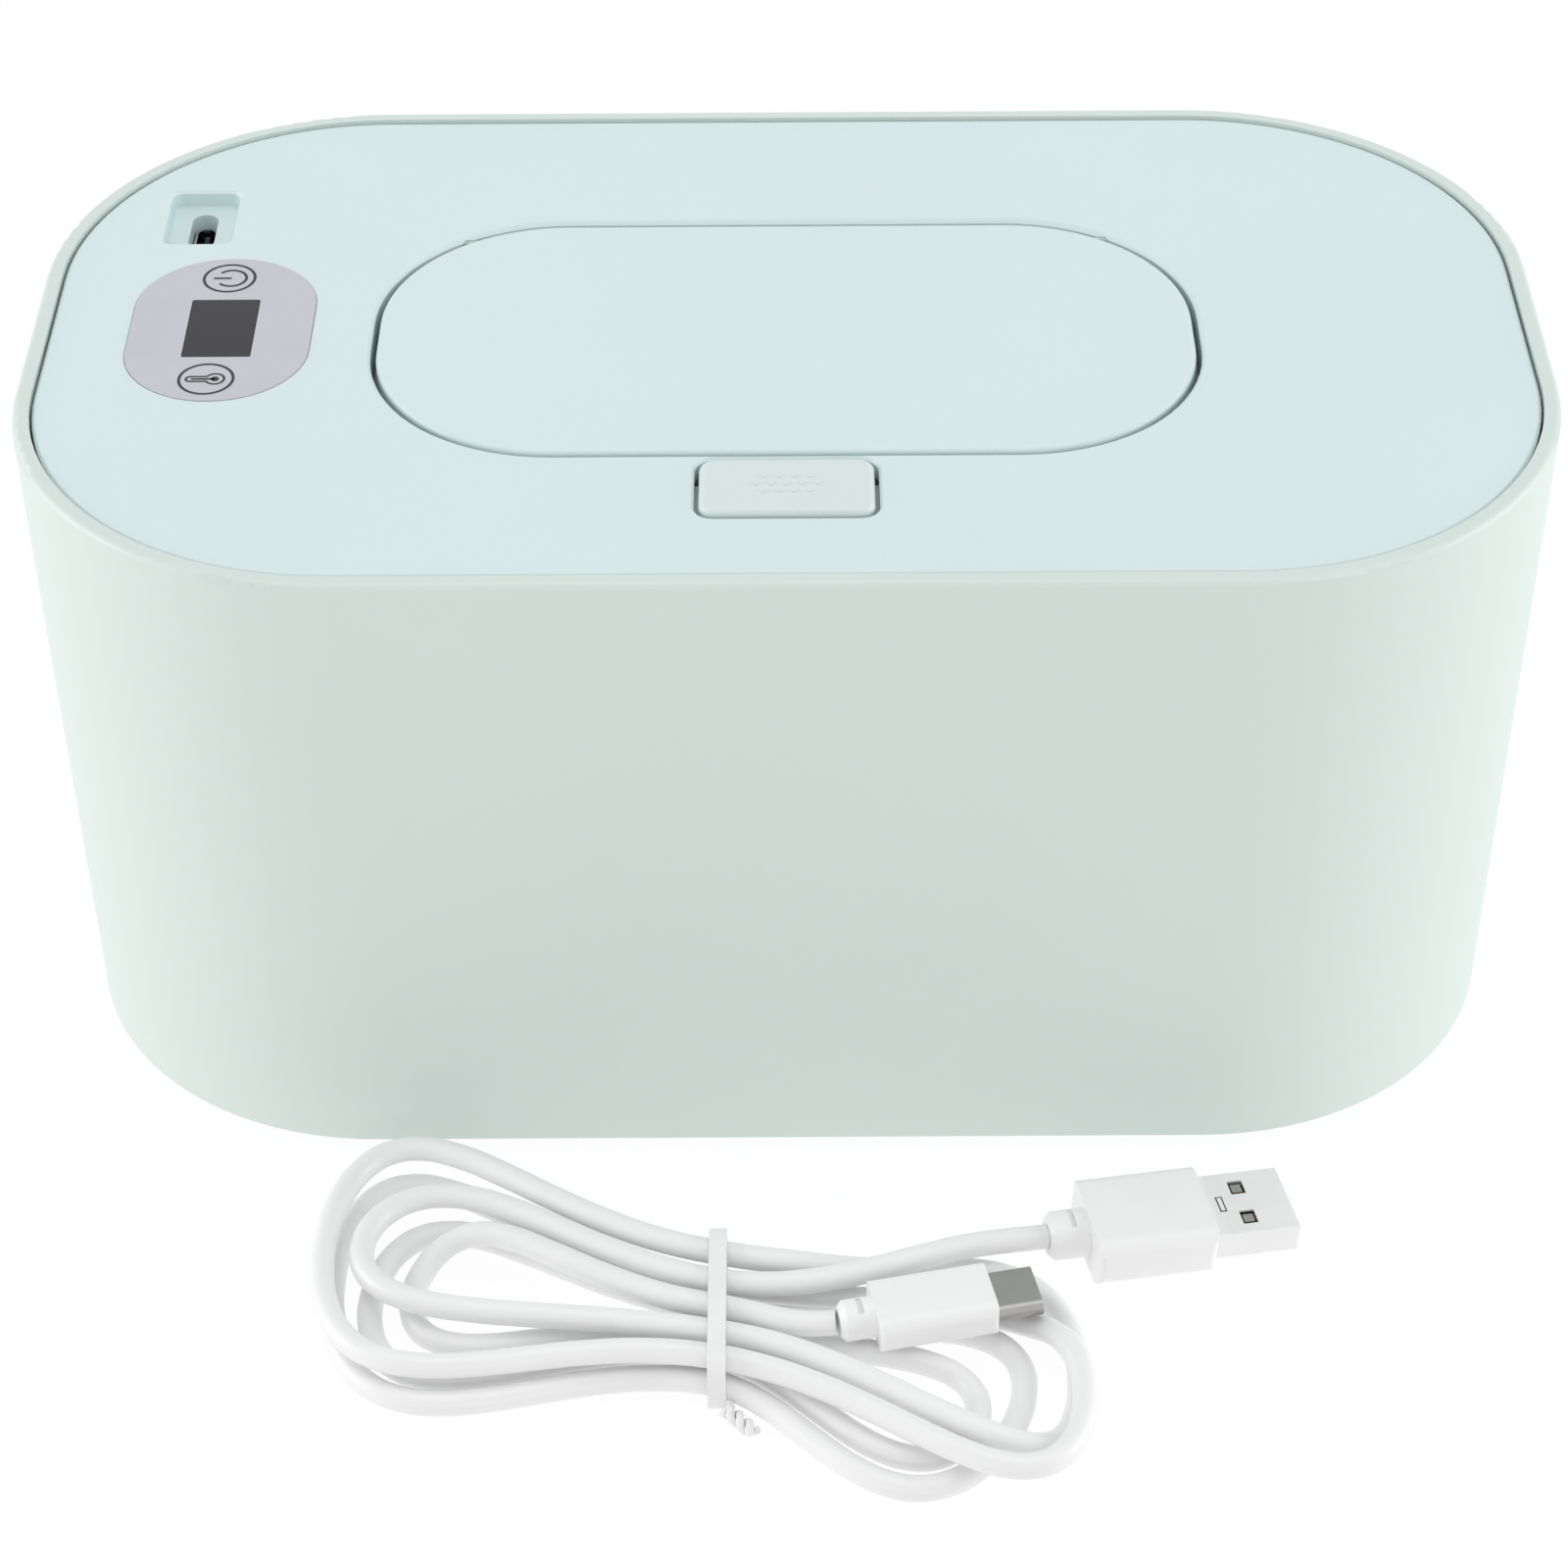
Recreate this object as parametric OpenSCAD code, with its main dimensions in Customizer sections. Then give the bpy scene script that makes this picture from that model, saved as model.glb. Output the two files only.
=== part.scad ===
// Baby wipe warmer: a drafted tub with a lift-out heated top, a hinged lid with a press latch,
// a touch panel with a numeral display, and the loose charging cable that comes with it.
// Millimetres. X runs along the length, Y from front to back, Z up.
// The origin is on the floor, under the middle of the tub.

/* [Housing] */
// Overall length at the rim
body_w = 215; // [200:1:240]
// Overall depth at the rim
body_d = 125; // [120:1:140]
// Overall height from the floor to the rim
body_h = 103.5; // [95:0.5:125]
// Plan radius of the tub's corners at the rim
corner_r = 47; // [42:1:52]
// How far each side draws in from the rim down to the floor
draft_in = 2; // [1:0.5:3]
// Wall thickness of the tub
wall = 2.4; // [2:0.1:3]
// Thickness of the tub's floor
floor_t = 2.6; // [2:0.1:4]
// Rounding of the tub's rim
rim_round = 1; // [0.6:0.1:1.1]
// Height of the rubber feet below the tub
foot_h = 1; // [0.8:0.1:3]
// Radius of a rubber foot
foot_r = 7; // [4:0.5:10]
// Width of the ledge that carries the top
ledge_w = 3.5; // [3:0.1:5]

/* [Top] */
// How far the top lies below the rim
top_sink = 0.4; // [0.2:0.1:1]
// Running gap between the top and the tub
top_gap = 0.35; // [0.3:0.05:0.6]
// Thickness of the top's face
face_t = 2.4; // [2.2:0.1:2.8]
// Thickness of the top's skirt and inner walls
skirt_t = 1.8; // [1.5:0.1:2.2]
// Depth of the skirt below the top's face
skirt_h = 14.2; // [13:0.1:18]
// Thickness of the cover that closes the top from below
cover_t = 2; // [1.6:0.1:2.4]
// Thickness of the silicone ring on the ledge
seal_t = 1.2; // [0.8:0.1:2]

/* [Lid] */
// Length of the lid
lid_w = 116; // [108:1:124]
// Depth of the lid
lid_d = 59.8; // [57:0.2:63]
// Plan radius of the lid's corners
lid_r = 26; // [22:0.5:28]
// Distance of the lid's centre in front of the tub's centre
lid_shift = 0.9; // [0:0.1:2]
// Gap round the lid
lid_gap = 0.8; // [0.75:0.05:1]
// Thickness of the lid's plate
lid_t = 2.4; // [2.2:0.1:2.8]
// Depth of the recess under the lid
recess_h = 6.5; // [6.4:0.1:7]
// Distance of the hinge axis from the lid's back edge
hinge_in = 3.6; // [3.2:0.1:4]
// Distance of the hinge axis below the lid's face
hinge_down = 0.95; // [0.9:0.05:1]
// Radius of a hinge pin
pin_r = 0.5; // [0.4:0.02:0.5]
// Running clearance of a hinge pin in the top
pin_gap = 0.05; // [0.02:0.01:0.08]

/* [Outlet] */
// Length of the wipe outlet
outlet_w = 84; // [70:1:90]
// Depth of the wipe outlet
outlet_d = 34; // [26:1:36]
// Height of the outlet's lip above the recess
lip_h = 1.4; // [1:0.1:1.6]
// Thickness of the lid's inner liner
liner_t = 1.5; // [1:0.1:1.6]

/* [Latch button] */
// Length of the button
button_w = 23.8; // [20:0.2:27]
// Depth of the button
button_d = 12.8; // [10.6:0.2:13.4]
// Plan radius of the button's corners
button_r = 2.2; // [1.8:0.1:3]
// Gap round the button
button_gap = 0.6; // [0.4:0.05:0.8]
// How far the button stands proud of the top
button_proud = 0.6; // [0.3:0.1:1.2]
// Travel of the button
button_travel = 2; // [1:0.1:2.2]
// Thickness of the wall between the button's well and the lid's recess
strip_t = 1; // [0.8:0.1:1.6]

/* [Control panel] */
// Distance of the panel's middle from the tub's left end
panel_in = 27; // [25.5:0.5:28.5]
// Place of the panel along Y
panel_y = 1; // [-2:0.5:2]
// Width of the panel film
panel_w = 26; // [24:0.5:27]
// Length of the panel film
panel_l = 37.6; // [34:0.2:39]
// Thickness of the panel film
film_t = 0.5; // [0.3:0.1:0.8]
// Width of the display window
window_w = 9.8; // [8:0.1:11]
// Length of the display window
window_l = 15.2; // [13:0.1:16]
// Distance of each touch key from the middle of the panel
key_y = 13.4; // [12.8:0.1:14]
// Radius of a touch key's spring
key_spring_r = 3; // [2.5:0.1:3.2]

/* [Charging socket] */
// Distance of the socket from the panel, along Y
socket_dy = 31; // [30:0.5:32]
// Distance of the socket from the panel, along X
socket_dx = -6.2; // [-7:0.2:-5.6]
// Width of the socket's recess
dish_w = 10.2; // [9:0.1:11]
// Length of the socket's recess
dish_l = 14.8; // [13:0.1:16]
// Depth of the socket's recess
dish_h = 2.5; // [2:0.1:3]
// Depth of the receptacle's mouth below the recess
socket_sink = 2.2; // [1.5:0.1:3]

/* [Heater and board] */
// Length of the heater plate
heater_w = 150; // [120:1:160]
// Depth of the heater plate
heater_d = 84; // [70:1:90]
// Thickness of the aluminium heater plate
plate_t = 1.5; // [1:0.1:2]
// Thickness of the printed heater film
heater_film_t = 0.3; // [0.2:0.1:0.5]
// Thickness of the insulation pad
pad_t = 0.8; // [0.5:0.1:1.5]
// Width of the control board
board_w = 28; // [26:0.5:28]
// Length of the control board
board_l = 58; // [56:0.5:59]
// Thickness of the control board
board_t = 1.6; // [1:0.1:2]

/* [Cable] */
// Diameter of the charging cable
cable_d = 3.6; // [3.2:0.1:3.8]
// Length of the type A plug's grip
grip_a_l = 17.5; // [16:0.5:19]
// Width of the type A plug's grip
grip_a_w = 15.5; // [14:0.1:16]
// Length of the type C plug's grip
grip_c_l = 16.6; // [15:0.2:17]
// Width of the type C plug's grip
grip_c_w = 10.4; // [10:0.1:10.8]

/* [Hidden] */
$fn = 64;
e = 0.01; // overlap of cutting tools past a face

mint = [0.84, 0.905, 0.893];
silicone = [0.88, 0.92, 0.91];
white = [0.94, 0.94, 0.94];
steel = [0.74, 0.75, 0.76];

// Corner centres of the drafted tub, the same at every height
core_x = body_w / 2 - corner_r;
core_y = body_d / 2 - corner_r;

// Heights of the tub
tub_z = foot_h;
floor_z = tub_z + floor_t;
base_round = 1.5;
floor_round = 4;
foot_seat = 0.8;
foot_x = core_x + 14;
foot_y = core_y + 18;

// Heights of the top
deck_z = body_h - top_sink;
face_z = deck_z - face_t;
skirt_z = face_z - skirt_h;
cover_z = skirt_z + cover_t;
ledge_z = skirt_z - seal_t;
ledge_t = 2;
edge_chamfer = 0.4;
recess_chamfer = 0.6;

// Insets of the top's pieces from the tub's outer face
skirt_in = wall + top_gap;
hollow_in = skirt_in + skirt_t;
cover_in = hollow_in + 0.2;
ledge_in = wall + ledge_w;

// Lid and recess
lid_y = -lid_shift;
recess_w = lid_w + 2 * lid_gap;
recess_d = lid_d + 2 * lid_gap;
recess_r = lid_r + lid_gap;
recess_z = deck_z - recess_h;
recess_floor_t = 1.8;
lid_z = deck_z - lid_t;
lid_round = 0.9;
lid_skirt_t = 1.6;
lid_skirt_h = 1.4;
hinge_y = lid_y + lid_d / 2 - hinge_in;
hinge_z = deck_z - hinge_down;
pin_press = 0.01;
// Half-length of a plan outline with round ends at the hinge axis
function reach_at_hinge(w, d, r) =
    w / 2 - r + sqrt(pow(r, 2) - pow(hinge_y - (lid_y + d / 2 - r), 2));
recess_at_hinge = reach_at_hinge(recess_w, recess_d, recess_r);
pin_hold = 5;
pin_out = recess_at_hinge + pin_hold;
pin_in = reach_at_hinge(lid_w, lid_d, lid_r) - 9;

// Outlet
chimney_w = outlet_w + 2 * skirt_t;
chimney_d = outlet_d + 2 * skirt_t;
lip_z = recess_z + lip_h;
chimney_gap = 0.3;
liner_margin = 3.5;
liner_w = chimney_w + 2 * liner_margin;
liner_d = chimney_d + 2 * liner_margin;
liner_z = lid_z - liner_t;
seal_gap = 0.6;

// Heater stack, hung under the cover
pad_z = skirt_z - pad_t;
film_z = pad_z - heater_film_t;
plate_z = film_z - plate_t;
heater_r = 30;
stack_gap = 0.6;
chimney_z = plate_z;

// Button
well_w = button_w + 2 * button_gap;
well_d = button_d + 2 * button_gap;
well_r = button_r + button_gap;
button_y = lid_y - recess_d / 2 - strip_t - well_d / 2;
button_z = deck_z + button_proud;
button_base_z = face_z - 1.8;
button_round = 1.2;
wing_t = 1.4;
wing_out = 2.6;
wing_gap = 0.3;
stem_r = 1.9;
stem_z = cover_z + 1 + button_travel + 0.5;
button_spring_r = 2.7;
button_wire_r = 0.25;
spring_seat_h = 1;
dot_r = 0.35;
dot_h = 0.15;
dot_pitch = 2.1;
dot_row = 1.75;
latch_w = 9;
latch_z = max(recess_z, button_base_z - button_travel - 0.3);
catch_w = 8;
catch_t = 1.4;

// Pop-up spring in the recess, under the lid's front edge
pop_r = 1.8;
pop_x = (liner_w / 2 + lid_w / 2 - lid_skirt_t) / 2;
pop_wire_r = 0.25;
spigot_r = 1.25;
spigot_h = 1.2;

// Panel, display and socket
panel_x = panel_in - body_w / 2;
panel_r = panel_w / 2 - 0.1;
panel_seat = film_t - 0.1;
panel_gap = 0.1;
lens_t = 1.6;
lens_gap = 0.1;
socket_x = panel_x + socket_dx;
socket_y = panel_y + socket_dy;
dish_r = 1.6;
socket_w = 3.26;
socket_l = 8.94;
socket_shell_t = 0.3;
socket_gap = 0.3;
dish_z = deck_z - dish_h;
socket_z = dish_z - socket_sink;
tongue_w = 0.7;
tongue_l = 6.7;

// Board
board_z = cover_z + 1.5;
board_top = board_z + board_t;
board_x = panel_x + 0.3;
board_y = panel_y + 8.2;
board_r = 3;
// Chips: place from the board's middle, width and height
chips = [[board_w / 2 - 5, board_l / 3, 5, 1.6], [4 - board_w / 2, -board_l / 7, 5, 1.5],
    [board_w / 2 - 4, board_l / 14, 4.4, 2.8]];
capacitor_r = 2.5;
capacitor_h = 5.4;
post_r = 2.6;
post_dx = board_w / 2 - 3;
post_dy = board_l / 2 - 3;
screw_r = 1;
screw_head_r = 1.9;
screw_head_h = 1.2;
screw_gap = 0.2;
screw_bite = 6;
boss_r = 3;
key_wire_r = 0.25;

// Thermal fuse and temperature sensor, lying on the heater film in windows of the pad and the cover
fuse_x = -57;
fuse_y = 4;
fuse_l = 9;
fuse_r = 1.2;
fuse_leg = 3;
sensor_x = -57;
sensor_y = -20;
sensor_l = 4;
sensor_r = 0.9;
sensor_leg = 1.5;
leg_r = 0.3;

// Two leads from the heater film up to the board
lead_r = 0.7;
lead_x = -58;
lead_y = board_y - board_l / 2 + 11;
lead_dy = 2;
lead_bend = 1.4;
lead_top_z = recess_z - recess_floor_t - lead_r - 0.4;

// Screw places: six under the cover, four through the heater plate
screw_in = 9;
cover_screws = [for (sx = [-1, 1], place = [
    [body_w / 2 - screw_in, -17], [body_w / 2 - screw_in, 17], [core_x - 8, body_d / 2 - screw_in - 4]])
    [sx * place[0], place[1]]];
heater_screw_in = 14;
heater_screw_places = [for (sx = [-1, 1], sy = [-1, 1])
    [sx * (heater_w / 2 - heater_screw_in), sy * (heater_d / 2 - heater_screw_in)]];

// Hank of the cable: its waist in the tie, and lobes to the left and right of it in two layers
hank_x = -10.2;
hank_y = -99.1;
// Turn of the hank inside its tie
hank_turn = -11;
low = 2.95;
high = 7.25;
// How far the lobes sink from the waist to the floor
lobe_drop = 0.85;
lobe_steps = 20;
// Waist places in order along the cable: distance behind the tie's middle, and height
waist = [[4.83, high], [-4.68, high], [10.13, high], [-9.2, high], [7.79, low],
    [-10.1, low], [3.19, low], [-5.43, low], [-1.05, low], [0.03, high]];
// Lobes in order: reach, fullness, shift towards the back, start and end of the change of layer, lean
lobes = [
    [51.25, 18.88, 7.13, 0.78, 0.965, -3.25],
    [50.66, 31.67, -2.75, 0.242, 0.796, 2.82],
    [57.19, 38.06, 3.9, 0.8, 0.971, 2.28],
    [52.24, 24.52, -8.36, 0.596, 0.748, 0.42],
    [55.34, 38.47, 1.5, 0.062, 0.219, 4.04],
    [41.9, 25.08, -9.36, 0.103, 0.627, -5.96],
    [48.92, 29.1, -1.61, 0.029, 0.248, 1.82],
    [36.93, 15.93, -10, 0.072, 0.381, -4.26],
    [43.5, 22.59, 0.24, 0.496, 0.75, -0.36]];
// Lobe that dips below the lead of the type A plug before it rises again
under_lobe = 1;
dip_over = 0.2;

// Plugs: place of the grip's back end, turn and pitch; grip, collar and metal shell
plug_turn = 12;
plug_a = [hank_x + 51.8, hank_y + 16.3, 4.95];
plug_a_pitch = 3;
plug_c = [hank_x + 21.5, hank_y - 2.7, 7.95];
grip_a_t = 8;
collar_a_l = 5.6;
collar_a_r = 3.5;
shell_a_w = 12;
shell_a_t = 4.5;
shell_a_l = 12.3;
grip_c_t = 5.6;
collar_c_l = 5;
collar_c_r = 2.9;
shell_c_w = 8.34;
shell_c_t = 2.56;
shell_c_l = 6.5;
plug_shell_t = 0.3;
// Leads from the plugs to the hank, seen from the tie
lead_a = [
    [46.135, 15.096, 5.254], [40.473, 13.607, 6.003], [34.825, 11.707, 6.873], [29.185, 9.629, 7.204],
    [23.548, 7.607, high], [17.909, 5.874, high], [12.262, 4.663, high], [6.602, 4.207, high]];
lead_c = [
    [4.122, -1.182, 7.258], [8.217, -2.715, 7.517], [12.308, -3.829, 7.835], [16.21, -3.825, 7.94]];
lobe_start = len(lead_a);
lobe_end = lobe_start + len(lobes) * lobe_steps;

// Tie round the waist
tie_w = 2.5;
tie_t = 0.7;
tie_in = (max([for (place = waist) abs(place[0])]) + cable_d / 2) / cos(hank_turn)
    + tie_w / 2 * tan(abs(hank_turn)) + 0.65;
tie_r = 1.8;
tie_z = 0.1;
tie_top = 10.1;
tail_l = 5.5;
tail_r = 0.6;

// Radius of the drafted outline at height z, drawn in by inset
function outline_r(z, inset) = corner_r - draft_in * (body_h - z) / body_h - inset;

// Plan shape with round corners, made of true arcs
module round_plan(w, d, r) {
    square([w - 2 * r, d], center = true);
    if (d > 2 * r) square([w, d - 2 * r], center = true);
    for (sx = [-1, 1], sy = d > 2 * r ? [-1, 1] : [0])
        translate([sx * (w / 2 - r), sy * (d / 2 - r)]) circle(r);
}

// Flat plate with round corners, from z0 up to z1
module round_plate(w, d, r, z0, z1) {
    translate([0, 0, z0]) linear_extrude(z1 - z0) round_plan(w, d, r);
}

// Solid whose upright section, measured out from the corner centres, is the 2D child
module swept(cx, cy, z0, z1) {
    corners = [[cx, cy], [-cx, cy], [-cx, -cy], [cx, -cy]];
    for (i = [0 : 3]) translate(corners[i]) rotate(90 * i) rotate_extrude(angle = 90) children();
    for (turn = [0, 180]) rotate(turn) {
        translate([0, cy, 0]) rotate([90, 0, 90]) linear_extrude(2 * cx, center = true) children();
        translate([cx, 0, 0]) rotate([90, 0, 0]) linear_extrude(2 * cy, center = true) children();
    }
    translate([0, 0, z0]) linear_extrude(z1 - z0) square([2 * cx, 2 * cy], center = true);
}

// Drafted solid that follows the tub's outer face, drawn in by an inset
module drafted(inset, z0, z1) {
    swept(core_x, core_y, z0, z1)
        polygon([[0, z0], [outline_r(z0, inset), z0], [outline_r(z1, inset), z1], [0, z1]]);
}

// Plate with upright sides and a rounded top edge
module pillow_plate(w, d, r, z0, z1, edge) {
    swept(w / 2 - r, d / 2 - r, z0, z1) {
        translate([0, z0]) square([r - edge, z1 - z0]);
        translate([r - edge, z0]) square([edge, z1 - z0 - edge]);
        translate([r - edge, z1 - edge]) intersection() {
            circle(edge);
            square(edge);
        }
    }
}

// Pan-head screw, its head down, its tip at length above the head's seat
module screw(length) {
    translate([0, 0, -screw_head_h]) cylinder(h = screw_head_h, r1 = screw_head_r - 0.5, r2 = screw_head_r);
    cylinder(h = length, r = screw_r);
}

// Ring of points square to a path: centre c, direction t, radius r
function ring(c, t, r, sides) =
    let (u = abs(t[2]) < 0.9 ? cross([0, 0, 1], t) : cross([1, 0, 0], t), n = u / norm(u), b = cross(t,
        n) / norm(t))
    [for (k = [0 : sides - 1]) c + r * (cos(360 * k / sides) * n + sin(360 * k / sides) * b)];

// Direction of a path at point i
function heading(p, i) = let (a = max(i - 1, 0), b = min(i + 1,
    len(p) - 1)) (p[b] - p[a]) / norm(p[b] - p[a]);

// Tube swept along the points of a path, from point start to point end
module tube(path, r, sides = 6, start = 0, end = undef) {
    finish = is_undef(end) ? len(path) - 1 : end;
    n = finish - start + 1;
    pts = [for (i = [start : finish]) each ring(path[i], heading(path, i), r, sides)];
    walls = [for (i = [0 : n - 2], k = [0 : sides - 1])
        let (a = i * sides + k, b = i * sides + (k + 1) % sides)
        each [[a, a + sides, b], [b, a + sides, b + sides]]];
    first = [for (k = [1 : sides - 2]) [0, k, k + 1]];
    last = [for (k = [1 : sides - 2]) let (o = (n - 1) * sides) [o, o + k + 1, o + k]];
    polyhedron(pts, concat(walls, first, last));
}

// Points of an upright helix
function helix(r, z0, z1, turns, steps = 8) =
    [for (i = [0 : turns * steps]) [r * cos(360 * i / steps), r * sin(360 * i / steps),
        z0 + (z1 - z0) * i / (turns * steps)]];

// Points of an arc in the XZ plane round (x, z), from angle a to angle b
function arc_xz(x, z, r, a, b, steps = 4) =
    [for (i = [0 : steps]) let (t = a + (b - a) * i / steps) [x + r * cos(t), 0, z + r * sin(t)]];

module outer_shell() {
    zt = body_h - rim_round;
    slope = atan(draft_in / body_h);
    cx = outline_r(zt, 0) - rim_round / cos(slope);
    rb = outline_r(tub_z, 0);
    r_floor = outline_r(floor_z, wall);
    r_ledge = outline_r(ledge_z, ledge_in);
    color(mint) difference() {
        swept(core_x, core_y, tub_z, body_h) {
            polygon([[0, tub_z], [rb - base_round, tub_z], [outline_r(tub_z + base_round, 0),
                tub_z + base_round],
                [cx + rim_round * cos(slope), zt - rim_round * sin(slope)], [cx, body_h], [0, body_h]]);
            translate([cx, zt]) circle(rim_round);
        }
        swept(core_x, core_y, floor_z, body_h + 1)
            polygon([[0, floor_z], [r_floor - floor_round, floor_z], [outline_r(floor_z + floor_round,
                wall), floor_z + floor_round],
                [outline_r(ledge_z - ledge_t - ledge_w, wall), ledge_z - ledge_t - ledge_w],
                [r_ledge, ledge_z - ledge_t], [r_ledge, ledge_z], [outline_r(ledge_z, wall), ledge_z],
                [outline_r(body_h + 1, wall), body_h + 1], [0, body_h + 1]]);
        feet_places() translate([0, 0, tub_z - e]) cylinder(h = foot_seat + e, r = foot_r + 0.1);
    }
}

module feet_places() {
    for (sx = [-1, 1], sy = [-1, 1]) translate([sx * foot_x, sy * foot_y, 0]) children();
}

module rubber_feet() {
    color([0.78, 0.8, 0.8]) feet_places() {
        cylinder(h = 0.4, r1 = foot_r - 0.4, r2 = foot_r);
        translate([0, 0, 0.4]) cylinder(h = foot_h + foot_seat - 0.4, r = foot_r);
    }
}

module top_deck() {
    r_top = outline_r(deck_z, skirt_in);
    color(mint) difference() {
        union() {
            difference() {
                swept(core_x, core_y, skirt_z, deck_z)
                    polygon([[0, skirt_z], [outline_r(skirt_z, skirt_in), skirt_z],
                        [outline_r(deck_z - edge_chamfer, skirt_in), deck_z - edge_chamfer],
                        [r_top - edge_chamfer, deck_z], [0, deck_z]]);
                drafted(hollow_in, skirt_z - 1, face_z);
            }
            // walls of the recess and the outlet
            translate([0, lid_y]) {
                round_plate(recess_w + 2 * skirt_t, recess_d + 2 * skirt_t, recess_r + skirt_t,
                    recess_z - recess_floor_t, face_z + e);
                round_plate(chimney_w, chimney_d, chimney_d / 2, chimney_z, recess_z);
            }
            // block round the socket
            translate([socket_x, socket_y])
                round_plate(dish_w + 4, dish_l + 3, dish_r + 1.5, socket_z - 1, face_z + e);
            // screw bosses
            for (p = cover_screws) translate([p[0], p[1], cover_z])
                cylinder(h = face_z - cover_z + e, r = boss_r);
        }
        translate([0, lid_y]) {
            difference() {
                union() {
                    round_plate(recess_w, recess_d, recess_r, recess_z, deck_z + 1);
                    translate([0, 0, deck_z - recess_chamfer])
                        round_chamfer(recess_w, recess_d, recess_r, recess_chamfer);
                }
                round_plate(chimney_w, chimney_d, chimney_d / 2, recess_z - 1, lip_z);
                for (s = [-1, 1]) translate([s * pop_x, 0, recess_z - 1])
                    cylinder(h = spigot_h + 1, r = spigot_r);
            }
            round_plate(outlet_w, outlet_d, outlet_d / 2, chimney_z - 1, lip_z + 1);
        }
        // well of the button
        translate([0, button_y]) {
            round_plate(well_w, well_d, well_r, recess_z - recess_floor_t - 1, deck_z + 1);
            translate([0, 0, deck_z - edge_chamfer]) round_chamfer(well_w, well_d, well_r, edge_chamfer);
            round_plate(well_w + 2 * (wing_out + 0.5), button_d - 2 * button_r + 2, 0.5, cover_z, face_z);
        }
        // window of the latch in the strip between well and recess
        translate([-latch_w / 2 - 0.5, lid_y - recess_d / 2 - strip_t - 1, latch_z])
            cube([latch_w + 1, strip_t + 2, face_z - latch_z]);
        // seat of the panel film and opening of the display
        translate([panel_x, panel_y]) {
            round_plate(panel_w + 2 * panel_gap, panel_l + 2 * panel_gap, panel_r + panel_gap,
                deck_z - panel_seat, deck_z + 1);
            round_plate(window_w + 2 * lens_gap, window_l + 2 * lens_gap, 0.4, face_z - 1, deck_z + 1);
        }
        // socket's recess and slot
        translate([socket_x, socket_y]) {
            round_plate(dish_w, dish_l, dish_r, dish_z, deck_z + 1);
            translate([0, 0, deck_z - edge_chamfer]) round_chamfer(dish_w, dish_l, dish_r, edge_chamfer);
            rotate(90) round_plate(socket_l + 2 * socket_gap, socket_w + 2 * socket_gap,
                socket_w / 2 + socket_gap,
                socket_z - 2, dish_z + e);
        }
        // hinge bores
        for (s = [-1, 1]) translate([s * (recess_at_hinge - 4), hinge_y, hinge_z]) rotate([0, s * 90, 0])
            cylinder(h = pin_out + pin_gap - recess_at_hinge + 4, r = pin_r + pin_gap);
        // screw holes
        for (p = cover_screws) translate([p[0], p[1], cover_z - e])
            cylinder(h = screw_bite + 2, r = screw_r);
    }
}

// Cutter that breaks a round-cornered edge by c, from z = 0 upwards
module round_chamfer(w, d, r, c) {
    swept(w / 2 - r, d / 2 - r, -e, c + 1)
        polygon([[0, -e], [r - e, -e], [r + c, c], [r + c, c + 1], [0, c + 1]]);
}

module under_cover() {
    color(mint) difference() {
        union() {
            drafted(cover_in, skirt_z, cover_z);
            translate([board_x, board_y]) for (sx = [-1, 1], sy = [-1, 1])
                translate([sx * post_dx, sy * post_dy, cover_z - e])
                    cylinder(h = board_z - cover_z + e, r = post_r);
            translate([0, button_y, cover_z - e]) cylinder(h = spring_seat_h + e, r = stem_r);
            for (p = heater_screw_places) translate([p[0], p[1], cover_z - e])
                cylinder(h = 2.5, r = boss_r);
        }
        translate([0, lid_y]) round_plate(chimney_w + 2 * chimney_gap, chimney_d + 2 * chimney_gap,
            chimney_d / 2 + chimney_gap, skirt_z - 1, cover_z + 1);
        for (p = cover_screws) translate([p[0], p[1], skirt_z - 1])
            cylinder(h = cover_t + 2, r = screw_r + screw_gap);
        for (p = heater_screw_places) translate([p[0], p[1], skirt_z - 1])
            cylinder(h = cover_t + 3, r = screw_r);
        translate([board_x, board_y]) for (sx = [-1, 1], sy = [-1, 1])
            translate([sx * post_dx, sy * post_dy, skirt_z + 0.5]) cylinder(h = board_z, r = screw_r);
        translate([fuse_x, fuse_y])
            round_plate(fuse_l + 2 * fuse_leg + 2, 2 * fuse_r + 1, 1, skirt_z - 1, cover_z + 1);
        translate([sensor_x, sensor_y])
            round_plate(sensor_l + 2 * sensor_leg + 1, 2 * sensor_r + 1, 0.8, skirt_z - 1, cover_z + 1);
        for (s = [-1, 1]) translate([lead_x, lead_y + s * lead_dy, skirt_z - 1])
            cylinder(h = cover_t + 2, r = lead_r + 0.3);
    }
}

module deck_seal() {
    color(silicone) difference() {
        drafted(skirt_in, ledge_z, skirt_z);
        drafted(skirt_in + ledge_w - top_gap - 0.9, ledge_z - 1, skirt_z + 1);
    }
}

module deck_screws() {
    color(steel) for (p = cover_screws) translate([p[0], p[1], skirt_z]) screw(cover_t + screw_bite);
}

module control_panel() {
    color([0.77, 0.775, 0.81]) translate([panel_x, panel_y]) difference() {
        round_plate(panel_w, panel_l, panel_r, deck_z - panel_seat, deck_z - panel_seat + film_t);
        round_plate(window_w, window_l, 0.3, deck_z - 2, deck_z + 1);
    }
}

module display_window() {
    color([0.3, 0.31, 0.35]) translate([panel_x, panel_y])
        round_plate(window_w - 2 * lens_gap, window_l - 2 * lens_gap, 0.2,
            deck_z - panel_seat + film_t - lens_t, deck_z - panel_seat + film_t);
}

module display_module() {
    color([0.15, 0.15, 0.16]) translate([panel_x, panel_y])
        round_plate(window_w + 2.4, window_l + 2.2, 0.5, board_top, face_z - 0.3);
}

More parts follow.
